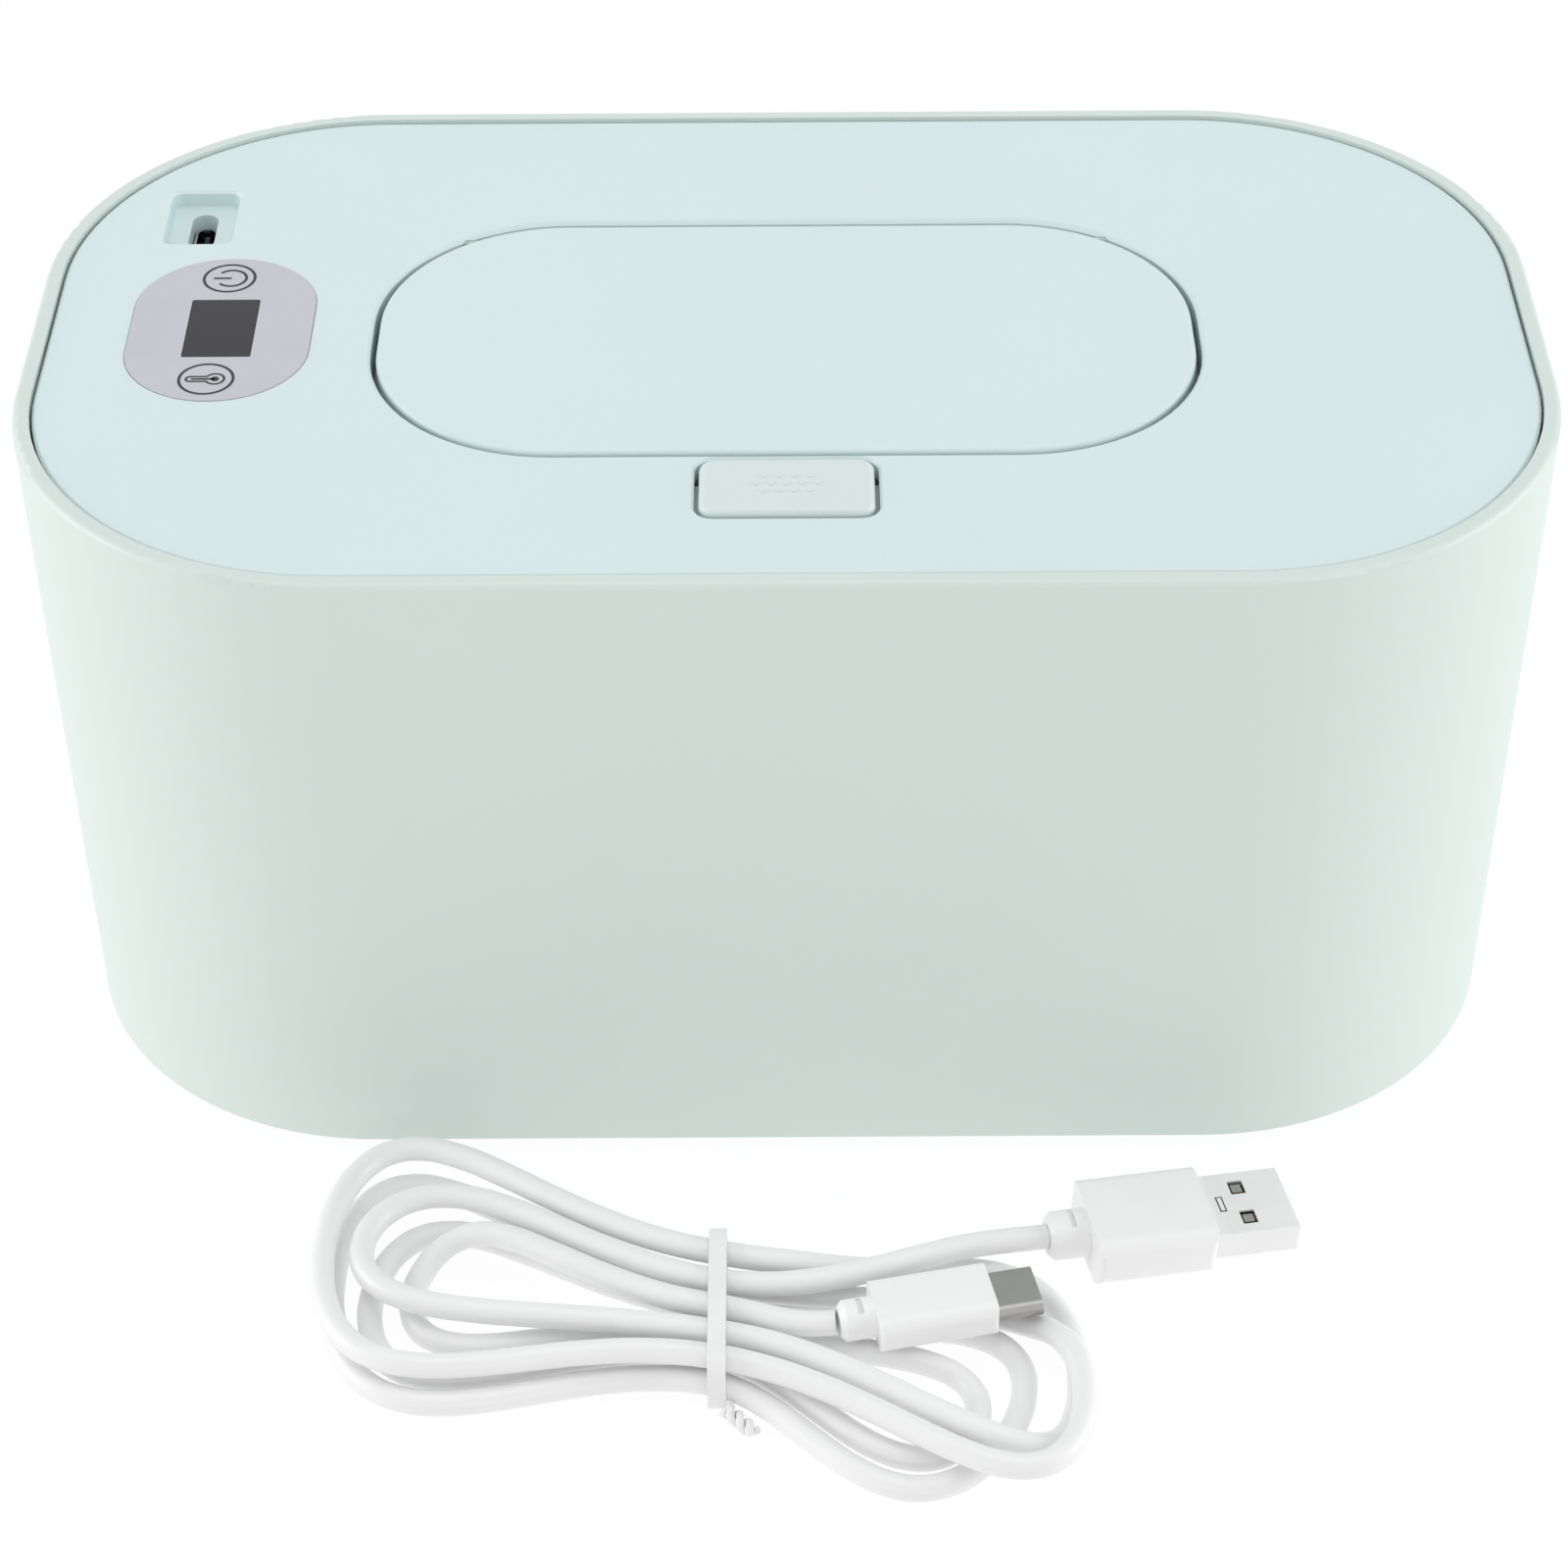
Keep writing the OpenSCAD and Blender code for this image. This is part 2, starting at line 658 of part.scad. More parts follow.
module control_board() {
    color([0.1, 0.36, 0.22]) translate([board_x, board_y]) difference() {
        round_plate(board_w, board_l, board_r, board_z, board_top);
        for (sx = [-1, 1], sy = [-1, 1]) translate([sx * post_dx, sy * post_dy, board_z - 1])
            cylinder(h = board_t + 2, r = screw_r + screw_gap);
    }
}

module board_chips() {
    color([0.12, 0.12, 0.13]) translate([board_x, board_y, board_top]) {
        for (c = chips) translate([c[0], c[1], c[3] / 2]) cube([c[2], c[2], c[3]], center = true);
        translate([board_w / 2 - 4, -board_l / 6, 0]) cylinder(h = capacitor_h, r = capacitor_r);
    }
}

module board_screws() {
    color(steel) translate([board_x, board_y, board_top]) for (sx = [-1, 1], sy = [-1, 1])
        translate([sx * post_dx, sy * post_dy, 0]) rotate([180, 0, 0]) screw(board_t + 2);
}

module touch_springs() {
    color(steel) for (s = [-1, 1]) translate([panel_x, panel_y + s * key_y, 0])
        tube(helix(key_spring_r, board_top + key_wire_r + 0.05, face_z - key_wire_r - 0.05, 5), key_wire_r);
}

module usb_socket_shell() {
    color(steel) translate([socket_x, socket_y]) rotate(90) difference() {
        round_plate(socket_l, socket_w, socket_w / 2, board_top, socket_z);
        round_plate(socket_l - 2 * socket_shell_t, socket_w - 2 * socket_shell_t,
            socket_w / 2 - socket_shell_t,
            socket_z - 6, socket_z + 1);
    }
}

module usb_socket_tongue() {
    color([0.12, 0.12, 0.13]) translate([socket_x - tongue_w / 2, socket_y - tongue_l / 2, socket_z - 6])
        cube([tongue_w, tongue_l, 5.2]);
}

// Stadium ring plate round the outlet, one layer of the heater stack
module stack_layer(z0, z1, shrink = 0) {
    difference() {
        round_plate(heater_w - 2 * shrink, heater_d - 2 * shrink, heater_r - shrink, z0, z1);
        translate([0, lid_y]) round_plate(chimney_w + 2 * stack_gap, chimney_d + 2 * stack_gap,
            chimney_d / 2 + stack_gap, z0 - 1, z1 + 1);
        for (p = heater_screw_places) translate([p[0], p[1], z0 - 1])
            cylinder(h = z1 - z0 + 2, r = screw_r + screw_gap);
    }
}

module heater_plate() {
    color([0.8, 0.81, 0.82]) stack_layer(plate_z, film_z);
}

module heater_film() {
    color([0.75, 0.5, 0.2]) stack_layer(film_z, pad_z, 3);
}

module insulation_pad() {
    color([0.9, 0.9, 0.88]) difference() {
        stack_layer(pad_z, skirt_z, 1);
        translate([fuse_x, fuse_y])
            round_plate(fuse_l + 2 * fuse_leg + 2, 2 * fuse_r + 1, 1, pad_z - 1, skirt_z + 1);
        translate([sensor_x, sensor_y])
            round_plate(sensor_l + 2 * sensor_leg + 1, 2 * sensor_r + 1, 0.8, pad_z - 1, skirt_z + 1);
        for (s = [-1, 1]) translate([lead_x, lead_y + s * lead_dy, pad_z - 1])
            cylinder(h = pad_t + 2, r = lead_r + 0.3);
    }
}

module heater_screws() {
    color(steel) for (p = heater_screw_places) translate([p[0], p[1], plate_z])
        screw(skirt_z - plate_z + cover_t + 2);
}

// Part with two straight legs, lying along X
module axial_part(length, r, leg) {
    translate([-length / 2, 0, 0]) rotate([0, 90, 0]) cylinder(h = length, r = r);
    translate([-length / 2 - leg, 0, 0]) rotate([0, 90, 0]) cylinder(h = length + 2 * leg, r = leg_r);
}

module thermal_fuse() {
    color([0.85, 0.85, 0.84]) translate([fuse_x, fuse_y, pad_z + fuse_r])
        axial_part(fuse_l, fuse_r, fuse_leg);
}

module temperature_sensor() {
    color([0.25, 0.22, 0.2]) translate([sensor_x, sensor_y, pad_z + sensor_r])
        axial_part(sensor_l, sensor_r, sensor_leg);
}

module heater_leads() {
    end_x = board_x + board_w / 2 - 3;
    color([0.75, 0.15, 0.12]) for (s = [-1, 1]) translate([0, lead_y + s * lead_dy, 0])
        tube(concat([[lead_x, 0, pad_z]], arc_xz(lead_x - lead_bend, lead_top_z - lead_bend, lead_bend,
            0, 90),
            arc_xz(end_x + lead_bend, lead_top_z - lead_bend, lead_bend, 90, 180), [[end_x, 0,
                board_top]]), lead_r, 8);
}

module lid() {
    color(mint) difference() {
        translate([0, lid_y]) {
            pillow_plate(lid_w, lid_d, lid_r, lid_z, deck_z, lid_round);
            difference() {
                round_plate(lid_w, lid_d, lid_r, lid_z - lid_skirt_h, lid_z + e);
                round_plate(lid_w - 2 * lid_skirt_t, lid_d - 2 * lid_skirt_t, lid_r - lid_skirt_t,
                    lid_z - lid_skirt_h - 1, lid_z);
            }
            // catch that the button releases
            translate([0, -lid_d / 2 + lid_skirt_t, lid_z]) rotate([90, 0, -90])
                linear_extrude(catch_w, center = true)
                    polygon([[0, e], [0, -3.4], [catch_t - 0.3, -3.4], [lid_skirt_t + 0.4, -2.4],
                        [lid_skirt_t + 0.4, -1.9], [catch_t, -1.6], [catch_t, e]]);
        }
        for (s = [-1, 1]) translate([s * pin_in, hinge_y, hinge_z]) rotate([0, s * 90, 0])
            cylinder(h = lid_w, r = pin_r + pin_press);
    }
}

module lid_liner() {
    color([0.9, 0.93, 0.925]) translate([0, lid_y])
        round_plate(liner_w, liner_d, liner_d / 2, liner_z, lid_z);
}

module lid_seal() {
    color(silicone) translate([0, lid_y]) difference() {
        round_plate(chimney_w + 2 * seal_gap, chimney_d + 2 * seal_gap, chimney_d / 2 + seal_gap, lip_z,
            liner_z);
        round_plate(outlet_w - 2 * seal_gap, outlet_d - 2 * seal_gap, outlet_d / 2 - seal_gap, lip_z - 1,
            liner_z + 1);
    }
}

module hinge_pins() {
    color(steel) for (s = [-1, 1]) translate([s * pin_in, hinge_y, hinge_z]) rotate([0, s * 90, 0])
        cylinder(h = pin_out - pin_in, r = pin_r);
}

module pop_up_spring() {
    color(steel) for (s = [-1, 1]) translate([s * pop_x, lid_y, 0])
        tube(helix(pop_r, recess_z + pop_wire_r + 0.05, lid_z - pop_wire_r - 0.2, 3), pop_wire_r);
}

module latch_button() {
    color([0.87, 0.905, 0.9]) translate([0, button_y]) {
        difference() {
            union() {
                pillow_plate(button_w, button_d, button_r, button_base_z, button_z, button_round);
                // wings that catch under the top's face
                round_plate(button_w + 2 * wing_out, button_d - 2 * button_r, 0.4,
                    face_z - wing_gap - wing_t, face_z - wing_gap);
                // nose that reaches the lid's catch
                translate([0, button_d / 2, 0]) rotate([90, 0, 90]) linear_extrude(latch_w, center = true)
                    polygon([[-1, face_z - wing_gap], [-1, button_base_z], [button_gap, button_base_z],
                        [button_gap + 0.5, button_base_z + 0.8], [button_gap, face_z - wing_gap]]);
            }
            round_plate(button_w - 3, button_d - 3, button_r - 1, button_base_z - 1, button_z - 1.6);
        }
        translate([0, 0, stem_z]) cylinder(h = button_z - 1.6 - stem_z + e, r = stem_r);
        // grip dots in three staggered rows
        for (row = [-1, 0, 1]) let (count = row == 0 ? 5 : 4) for (i = [0 : count - 1])
            translate([(i - (count - 1) / 2) * dot_pitch, row * dot_row, button_z - e])
                cylinder(h = dot_h + e, r = dot_r);
    }
}

module button_spring() {
    color(steel) translate([0, button_y, 0])
        tube(helix(button_spring_r, cover_z + button_wire_r + 0.05,
            button_z - 1.6 - button_wire_r - 0.05, 6), button_wire_r);
}

// Ease from 0 to 1
function ease(s) = let (u = min(max(s, 0), 1)) u * u * (3 - 2 * u);

// Point of lobe k at t, 0 to 1, seen from the tie: out along X, round, and back to the next waist place
function lobe_point(k, t) =
    let (a = waist[k], b = waist[k + 1], w = lobes[k], far = pow(sin(180 * t), 2), half = (a[0] - b[0]) / 2,
        under = k == under_lobe ? low : b[1])
    [(k % 2 == 0 ? -1 : 1) * (w[0] * sin(180 * t) + w[5] * sin(360 * t)),
        (a[0] + b[0]) / 2 + (half + sign(half) * w[1] * far) * cos(180 * t) + w[2] * far,
        a[1] + (under - a[1]) * ease((t - w[3]) / (k == under_lobe ? dip_over : w[4] - w[3]))
            + (b[1] - under) * ease((t - w[4]) / dip_over) - lobe_drop * far];

// Point of the hank after its turn in the tie
function turned(p) = [p[0] * cos(hank_turn) - p[1] * sin(hank_turn), p[0] * sin(hank_turn) + p[1] * cos(hank_turn),
    p[2]];

// The whole cable, from the type A plug through the hank to the type C plug
function cable_route() = [for (p = concat(lead_a, [for (k = [0 : len(lobes) - 1], i = [0 : lobe_steps - 1])
    turned(lobe_point(k, i / lobe_steps))], [turned([0, waist[len(lobes)][0], waist[len(lobes)][1]])], lead_c))
    [hank_x + p[0], hank_y + p[1], p[2]]];

// Places a plug: its grip's back end at the place, +X out of the grip
module at_plug(place, pitch = 0) {
    translate(place) rotate([0, pitch, plug_turn]) children();
}

// Plug's grip with rounded edges, and the collar that the cable enters
module plug_grip(l, w, t, corner, edge, collar_l, collar_r) {
    intersection() {
        translate([l / 2, 0, -t / 2]) linear_extrude(t) round_plan(l, w, corner);
        rotate([90, 0, 90]) linear_extrude(l) round_plan(w, t, edge);
    }
    difference() {
        translate([-collar_l, 0, 0]) rotate([0, 90, 0]) rotate_extrude()
            polygon([[0, 0], [collar_r - 0.8, 0], [collar_r, 0.8], [collar_r, collar_l], [collar_r - 1,
                collar_l + 1],
                [0, collar_l + 1]]);
        for (side = [-1, 1]) translate([-collar_l * 0.4, 0, side * collar_r])
            cube([0.8, collar_r, 1.4], center = true);
    }
}

// Gaps between points of the cable that lie more than a few steps apart along it
function cable_gaps(p, skip = 12) = [for (i = [0 : len(p) - 1], j = [i + skip : 1 : len(p) - 1])
    norm(p[j] - p[i]) - cable_d];

// Path with each step cut in two
function finer(p) = [for (i = [0 : len(p) - 2], k = [0 : 1]) p[i] + (p[i + 1] - p[i]) * k / 2];

module cable_hank() {
    route = cable_route();
    lengths = [for (i = [1 : len(route) - 1]) norm(route[i] - route[i - 1])];
    echo(str("cable length ", lengths * [for (l = lengths) 1], " mm, least gap to itself ",
        min(cable_gaps(finer(route))), " mm"));
    color(white) tube(route, cable_d / 2, 6, lobe_start, lobe_end);
}

module cable_run_a() {
    color(white) tube(cable_route(), cable_d / 2, 6, 0, lobe_start);
}

module cable_run_c() {
    route = cable_route();
    color(white) tube(route, cable_d / 2, 6, lobe_end, len(route) - 1);
}

module cable_tie() {
    band_h = tie_top - tie_z;
    color(white) translate([hank_x, hank_y, 0]) {
        translate([0, 0, tie_z + band_h / 2]) rotate([90, 0, 90]) linear_extrude(tie_w, center = true)
            difference() {
            round_plan(2 * (tie_in + tie_t), band_h, tie_r + tie_t);
            round_plan(2 * tie_in, band_h - 2 * tie_t, tie_r);
        }
        // twisted tail
        translate([0.8, -tie_in - tie_t - 0.1, 2.2]) rotate([95, 0, 45]) for (turn = [0, 180]) rotate(turn)
            tube([for (i = [0 : 12]) [(tail_r + 0.08) * cos(45 * i), (tail_r + 0.08) * sin(45 * i),
                0.6 + tail_l * i / 12]],
                tail_r);
    }
}

module usb_a_grip() {
    color(white) at_plug(plug_a, plug_a_pitch)
        plug_grip(grip_a_l, grip_a_w, grip_a_t, 1.2, 2.4, collar_a_l, collar_a_r);
}

module usb_a_shell() {
    color(steel) at_plug(plug_a, plug_a_pitch) translate([grip_a_l, 0, 0]) difference() {
        translate([0, -shell_a_w / 2, -shell_a_t / 2]) cube([shell_a_l, shell_a_w, shell_a_t]);
        translate([-1, -shell_a_w / 2 + plug_shell_t, -shell_a_t / 2 + plug_shell_t])
            cube([shell_a_l + 2, shell_a_w - 2 * plug_shell_t, shell_a_t - 2 * plug_shell_t]);
        // windows of the contact springs
        for (side = [-1, 1]) translate([5.6, side * 3, 0]) cube([2.2, 2.6, shell_a_t + 1], center = true);
    }
}

module usb_a_tongue() {
    color([0.93, 0.93, 0.93]) at_plug(plug_a, plug_a_pitch) translate([grip_a_l, 0, 0])
        translate([0, -shell_a_w / 2 + plug_shell_t + 0.05, -shell_a_t / 2 + plug_shell_t + 0.05])
            cube([shell_a_l - 0.6, shell_a_w - 2 * plug_shell_t - 0.1, 1.9]);
}

module usb_c_grip() {
    color(white) at_plug(plug_c) plug_grip(grip_c_l, grip_c_w, grip_c_t, 0.8, 2, collar_c_l, collar_c_r);
}

module usb_c_shell() {
    color(steel) at_plug(plug_c) translate([grip_c_l, 0, 0]) rotate([90, 0, 90]) difference() {
        linear_extrude(shell_c_l) round_plan(shell_c_w, shell_c_t, shell_c_t / 2);
        translate([0, 0, 1]) linear_extrude(shell_c_l)
            round_plan(shell_c_w - 2 * plug_shell_t, shell_c_t - 2 * plug_shell_t,
                shell_c_t / 2 - plug_shell_t);
    }
}

outer_shell();
rubber_feet();
top_deck();
under_cover();
deck_seal();
deck_screws();
control_panel();
display_window();
display_module();
control_board();
board_chips();
board_screws();
touch_springs();
usb_socket_shell();
usb_socket_tongue();
heater_plate();
heater_film();
insulation_pad();
heater_screws();
thermal_fuse();
temperature_sensor();
heater_leads();
lid();
lid_liner();
lid_seal();
hinge_pins();
pop_up_spring();
latch_button();
button_spring();
cable_hank();
cable_run_a();
cable_run_c();
cable_tie();
usb_a_grip();
usb_a_shell();
usb_a_tongue();
usb_c_grip();
usb_c_shell();
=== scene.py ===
"""Looks of the baby wipe warmer: finishes, signs, cable, plug details, light and camera."""

import logging
import math
from dataclasses import dataclass, field
from enum import Enum
from typing import Iterable, Sequence

import bmesh
import bpy
from mathutils import Matrix, Vector

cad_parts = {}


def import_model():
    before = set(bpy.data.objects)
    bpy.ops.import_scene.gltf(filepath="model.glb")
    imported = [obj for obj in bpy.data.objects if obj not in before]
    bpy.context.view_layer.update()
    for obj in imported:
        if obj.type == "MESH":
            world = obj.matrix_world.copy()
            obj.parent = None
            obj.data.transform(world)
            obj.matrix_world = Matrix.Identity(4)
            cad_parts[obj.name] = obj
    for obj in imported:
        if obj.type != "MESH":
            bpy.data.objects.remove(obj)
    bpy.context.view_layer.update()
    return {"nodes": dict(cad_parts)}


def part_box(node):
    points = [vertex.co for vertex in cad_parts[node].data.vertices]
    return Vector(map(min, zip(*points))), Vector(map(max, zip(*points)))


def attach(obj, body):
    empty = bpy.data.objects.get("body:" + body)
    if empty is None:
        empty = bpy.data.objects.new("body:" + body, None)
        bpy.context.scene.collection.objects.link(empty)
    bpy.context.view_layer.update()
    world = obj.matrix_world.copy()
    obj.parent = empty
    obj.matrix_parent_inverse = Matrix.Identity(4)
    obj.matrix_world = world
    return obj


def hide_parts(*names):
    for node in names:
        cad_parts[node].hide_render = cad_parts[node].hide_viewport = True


LOG = logging.getLogger("wipe_warmer")
MM = 0.001

Point = tuple[float, float, float]
Point2 = tuple[float, float]
Strip = tuple[list[Point2], list[tuple[int, ...]]]
Socket = bpy.types.NodeSocket
Tree = bpy.types.NodeTree


def linear(hex_colour: str) -> tuple[float, float, float, float]:
    """Turns an sRGB hex colour to linear light.

    Args:
        hex_colour: Six hex digits.

    Returns:
        Red, green, blue and an alpha of 1.
    """
    parts = [int(hex_colour[i : i + 2], 16) / 255 for i in (0, 2, 4)]
    light = [c / 12.92 if c <= 0.04045 else ((c + 0.055) / 1.055) ** 2.4 for c in parts]
    return (light[0], light[1], light[2], 1.0)


def add_node(tree: Tree, kind: str, links: dict | None = None, values: dict | None = None,
             **settings: object) -> bpy.types.Node:
    """Adds a node with its settings, values and links.

    Args:
        tree: The tree that gets the node.
        kind: The node's type name.
        links: Input name or number to the output socket that feeds it.
        values: Input name or number to its value.
        settings: Attributes of the node itself.

    Returns:
        The new node.
    """
    node = tree.nodes.new(kind)
    for name, value in settings.items():
        setattr(node, name, value)
    for name, value in (values or {}).items():
        node.inputs[name].default_value = value
    for name, socket in (links or {}).items():
        tree.links.new(socket, node.inputs[name])
    return node


class Grain(Enum):
    """Kinds of fine surface relief."""

    SPARK = "spark-eroded mould texture"
    BRUSHED = "fine lines along one axis"
    CELLS = "closed foam cells"
    TRACKS = "copper tracks under solder mask"


# What all finishes share: the clear coat's roughness, the reach of bump and of scattering in
# metres, how much longer than wide a brushed line is, and where the colour's patches turn over
COAT_ROUGH = 0.08
BUMP_REACH = 0.02 * MM
SCATTER_REACH = 0.0008
BRUSH_STRETCH = 40
PATCH_STOPS = (0.3, 0.7)
# Copper tracks: their colour under the mask, and their width, length and pitch in grains
TRACK_COLOUR = "3E8A5C"
TRACK_WIDTH, TRACK_LENGTH, TRACK_PITCH = 0.03, 3.1, 0.55


@dataclass(frozen=True)
class Finish:
    """A surface finish: what it is made of, its colour and its grain.

    Args:
        name: Material name in plain words.
        colour: sRGB hex of the base colour.
        rough: Roughness.
        metallic: Metallic share.
        ior: Index of refraction.
        coat: Weight of a clear coat.
        grain: Kind of relief.
        grain_mm: Size of one grain in millimetres.
        depth: Strength of the relief.
        mottle: How far the colour wanders, as a share.
        mottle_mm: Size of the colour's patches in millimetres.
        glow: Share of light scattered below the surface.
    """

    name: str
    colour: str
    rough: float
    metallic: float = 0.0
    ior: float = 1.5
    coat: float = 0.0
    grain: Grain = Grain.SPARK
    grain_mm: float = 0.35
    depth: float = 0.05
    mottle: float = 0.015
    mottle_mm: float = 30.0
    glow: float = 0.0

    def _relief(self, tree: Tree, place: Socket) -> Socket:
        """Builds the height that the bump reads.

        Args:
            tree: The material's tree.
            place: Object coordinates, in metres.

        Returns:
            The height socket.
        """
        scale = 1 / (self.grain_mm * MM)
        if self.grain is Grain.BRUSHED:
            lines = add_node(tree, "ShaderNodeMapping", {"Vector": place},
                             {"Scale": (scale, scale / BRUSH_STRETCH, scale)})
            return add_node(tree, "ShaderNodeTexNoise", {"Vector": lines.outputs[0]},
                            {"Scale": 1.0, "Detail": 3.0}).outputs[0]
        if self.grain is Grain.CELLS:
            return add_node(tree, "ShaderNodeTexVoronoi", {"Vector": place},
                            {"Scale": scale}).outputs[0]
        return add_node(tree, "ShaderNodeTexNoise", {"Vector": place},
                        {"Scale": scale, "Detail": 2.0}).outputs[0]

    def _base(self, tree: Tree, place: Socket) -> Socket:
        """Builds the base colour, with its soft patches or tracks.

        Args:
            tree: The material's tree.
            place: Object coordinates, in metres.

        Returns:
            The colour socket.
        """
        patches = add_node(tree, "ShaderNodeTexNoise", {"Vector": place},
                           {"Scale": 1 / (self.mottle_mm * MM), "Detail": 3.0})
        ramp = add_node(tree, "ShaderNodeValToRGB", {"Fac": patches.outputs[0]})
        shares = (1 - self.mottle, 1 + self.mottle)
        for stop, share, at in zip(ramp.color_ramp.elements, shares, PATCH_STOPS):
            stop.position = at
            stop.color = (*(min(c * share, 1.0) for c in linear(self.colour)[:3]), 1.0)
        colour = ramp.outputs[0]
        if self.grain is not Grain.TRACKS:
            return colour
        return add_node(tree, "ShaderNodeTexBrick",
                        {"Vector": place, "Color1": colour, "Color2": colour},
                        {"Scale": 1 / (self.grain_mm * MM), "Mortar": linear(TRACK_COLOUR),
                         "Mortar Size": TRACK_WIDTH, "Brick Width": TRACK_LENGTH,
                         "Row Height": TRACK_PITCH}).outputs[0]

    def build(self) -> bpy.types.Material:
        """Makes the material, or finds it if it is made already.

        Returns:
            The material.
        """
        found = bpy.data.materials.get(self.name)
        if found:
            return found
        material = bpy.data.materials.new(self.name)
        material.use_nodes = True
        tree = material.node_tree
        shader = tree.nodes["Principled BSDF"]
        shader.inputs["Roughness"].default_value = self.rough
        shader.inputs["Metallic"].default_value = self.metallic
        shader.inputs["Coat Weight"].default_value = self.coat
        shader.inputs["Coat Roughness"].default_value = COAT_ROUGH
        if self.metallic == 0:
            shader.inputs["IOR"].default_value = self.ior
        if self.glow:
            shader.inputs["Subsurface Weight"].default_value = self.glow
            shader.inputs["Subsurface Radius"].default_value = (1.0, 1.0, 1.0)
            shader.inputs["Subsurface Scale"].default_value = SCATTER_REACH
        place = add_node(tree, "ShaderNodeTexCoord").outputs["Object"]
        tree.links.new(self._base(tree, place), shader.inputs["Base Color"])
        bump = add_node(tree, "ShaderNodeBump", {"Height": self._relief(tree, place)},
                        {"Strength": self.depth, "Distance": BUMP_REACH})
        tree.links.new(bump.outputs[0], shader.inputs["Normal"])
        return material


class Finishes:
    """The finishes that the object uses."""

    # ABS from a spark-eroded mould: an even satin skin with a broad soft gloss
    TUB = Finish("satin mint abs", "D3DFDA", 0.38, grain_mm=0.25, depth=0.06, mottle=0.006,
                 mottle_mm=60)
    DECK = Finish("satin mint abs top", "D6E6E6", 0.4, grain_mm=0.25, depth=0.06, mottle=0.006,
                  mottle_mm=60)
    LID = Finish("satin mint abs lid", "D6E6E6", 0.36, grain_mm=0.25, depth=0.05, mottle=0.006,
                 mottle_mm=60)
    BUTTON = Finish("pale mint abs button", "D7E3E1", 0.34, grain_mm=0.2, depth=0.04,
                    mottle=0.005, mottle_mm=20)
    LINER = Finish("white abs liner", "E4EAE8", 0.42, grain_mm=0.3, depth=0.06)
    # Cured rubbers: the clear one lets a little light in, the filled one is dull and uneven
    SILICONE = Finish("translucent silicone", "DCE4E2", 0.5, ior=1.41, grain_mm=0.5, depth=0.08,
                      glow=0.3)
    RUBBER = Finish("grey rubber", "B9BDBD", 0.75, ior=1.52, grain_mm=0.3, depth=0.25,
                    mottle=0.04, mottle_mm=4)
    # Printed polyester film over the keys: a silver ink under a matt face
    FILM = Finish("silver printed film", "C3C4CA", 0.42, metallic=0.15, grain_mm=0.12,
                  depth=0.05, mottle=0.02, mottle_mm=9)
    LENS = Finish("smoked acrylic", "202028", 0.24, ior=1.42, grain_mm=2.0, depth=0.01,
                  mottle=0.03, mottle_mm=8)
    INK = Finish("dark printing ink", "1E1C22", 0.5, grain_mm=0.1, depth=0.05, mottle=0.05,
                 mottle_mm=1)
    # Drawn and pressed metals, whose lines run along the strip or the wire
    STEEL = Finish("nickel-plated steel", "D8D8D6", 0.16, metallic=1.0, grain=Grain.BRUSHED,
                   grain_mm=0.08, depth=0.08, mottle=0.03, mottle_mm=5)
    SPRING = Finish("bright spring wire", "B9BABC", 0.28, metallic=1.0, grain=Grain.BRUSHED,
                    grain_mm=0.06, depth=0.08)
    ALUMINIUM = Finish("rolled aluminium sheet", "C4C6C8", 0.34, metallic=1.0,
                       grain=Grain.BRUSHED, grain_mm=0.2, depth=0.2, mottle=0.04, mottle_mm=12)
    # Polyimide over etched foil: the amber deepens in patches
    KAPTON = Finish("amber heater film", "A8702C", 0.3, ior=1.6, grain_mm=1.2, depth=0.05,
                    mottle=0.12, mottle_mm=6)
    FOAM = Finish("closed-cell foam", "DADAD4", 0.9, grain=Grain.CELLS, grain_mm=0.5, depth=0.4,
                  mottle=0.04, mottle_mm=6)
    BLACK = Finish("black moulded nylon", "232428", 0.45, grain_mm=0.2, depth=0.08, mottle=0.08,
                   mottle_mm=3)
    BOARD = Finish("green solder mask", "1F5A3A", 0.32, coat=0.2, grain=Grain.TRACKS,
                   grain_mm=4.0, depth=0.05, mottle=0.06, mottle_mm=8)
    LEAD = Finish("red silicone insulation", "B02A22", 0.45, grain_mm=0.3, depth=0.08,
                  mottle=0.04, mottle_mm=5)
    CERAMIC = Finish("tinned fuse body", "C9C4B8", 0.4, metallic=0.4, grain_mm=0.3, depth=0.1)
    # Soft white PVC: a smooth extruded jacket with a broad highlight, and duller moulded grips
    JACKET = Finish("white pvc jacket", "EEEEEE", 0.34, ior=1.52, grain_mm=0.6, depth=0.04,
                    mottle=0.01, mottle_mm=12)
    GRIP = Finish("white moulded pvc", "F0F0F0", 0.42, ior=1.52, grain_mm=0.3, depth=0.06,
                  mottle=0.01, mottle_mm=8)
    TIE = Finish("white twist tie", "EDEDED", 0.48, grain_mm=0.25, depth=0.12, mottle=0.02,
                 mottle_mm=3)
    GOLD = Finish("gold-plated contacts", "D8B45A", 0.25, metallic=1.0, grain=Grain.BRUSHED,
                  grain_mm=0.05, depth=0.05)
    # Zinc-plated pins, dull from tumbling
    PIN = Finish("dull zinc plating", "AEBBB8", 0.6, metallic=0.6, grain=Grain.BRUSHED,
                 grain_mm=0.1, depth=0.1)
    # Bright tin plating with a soft bloom, whiter than nickel, and a darker satin nickel
    TIN = Finish("bright tin plating", "EFEFEF", 0.4, metallic=0.3, grain=Grain.BRUSHED,
                 grain_mm=0.08, depth=0.06, mottle=0.02, mottle_mm=5)
    SATIN = Finish("satin nickel plating", "A6A4A2", 0.34, metallic=0.85, grain=Grain.BRUSHED,
                   grain_mm=0.06, depth=0.12, mottle=0.03, mottle_mm=4)
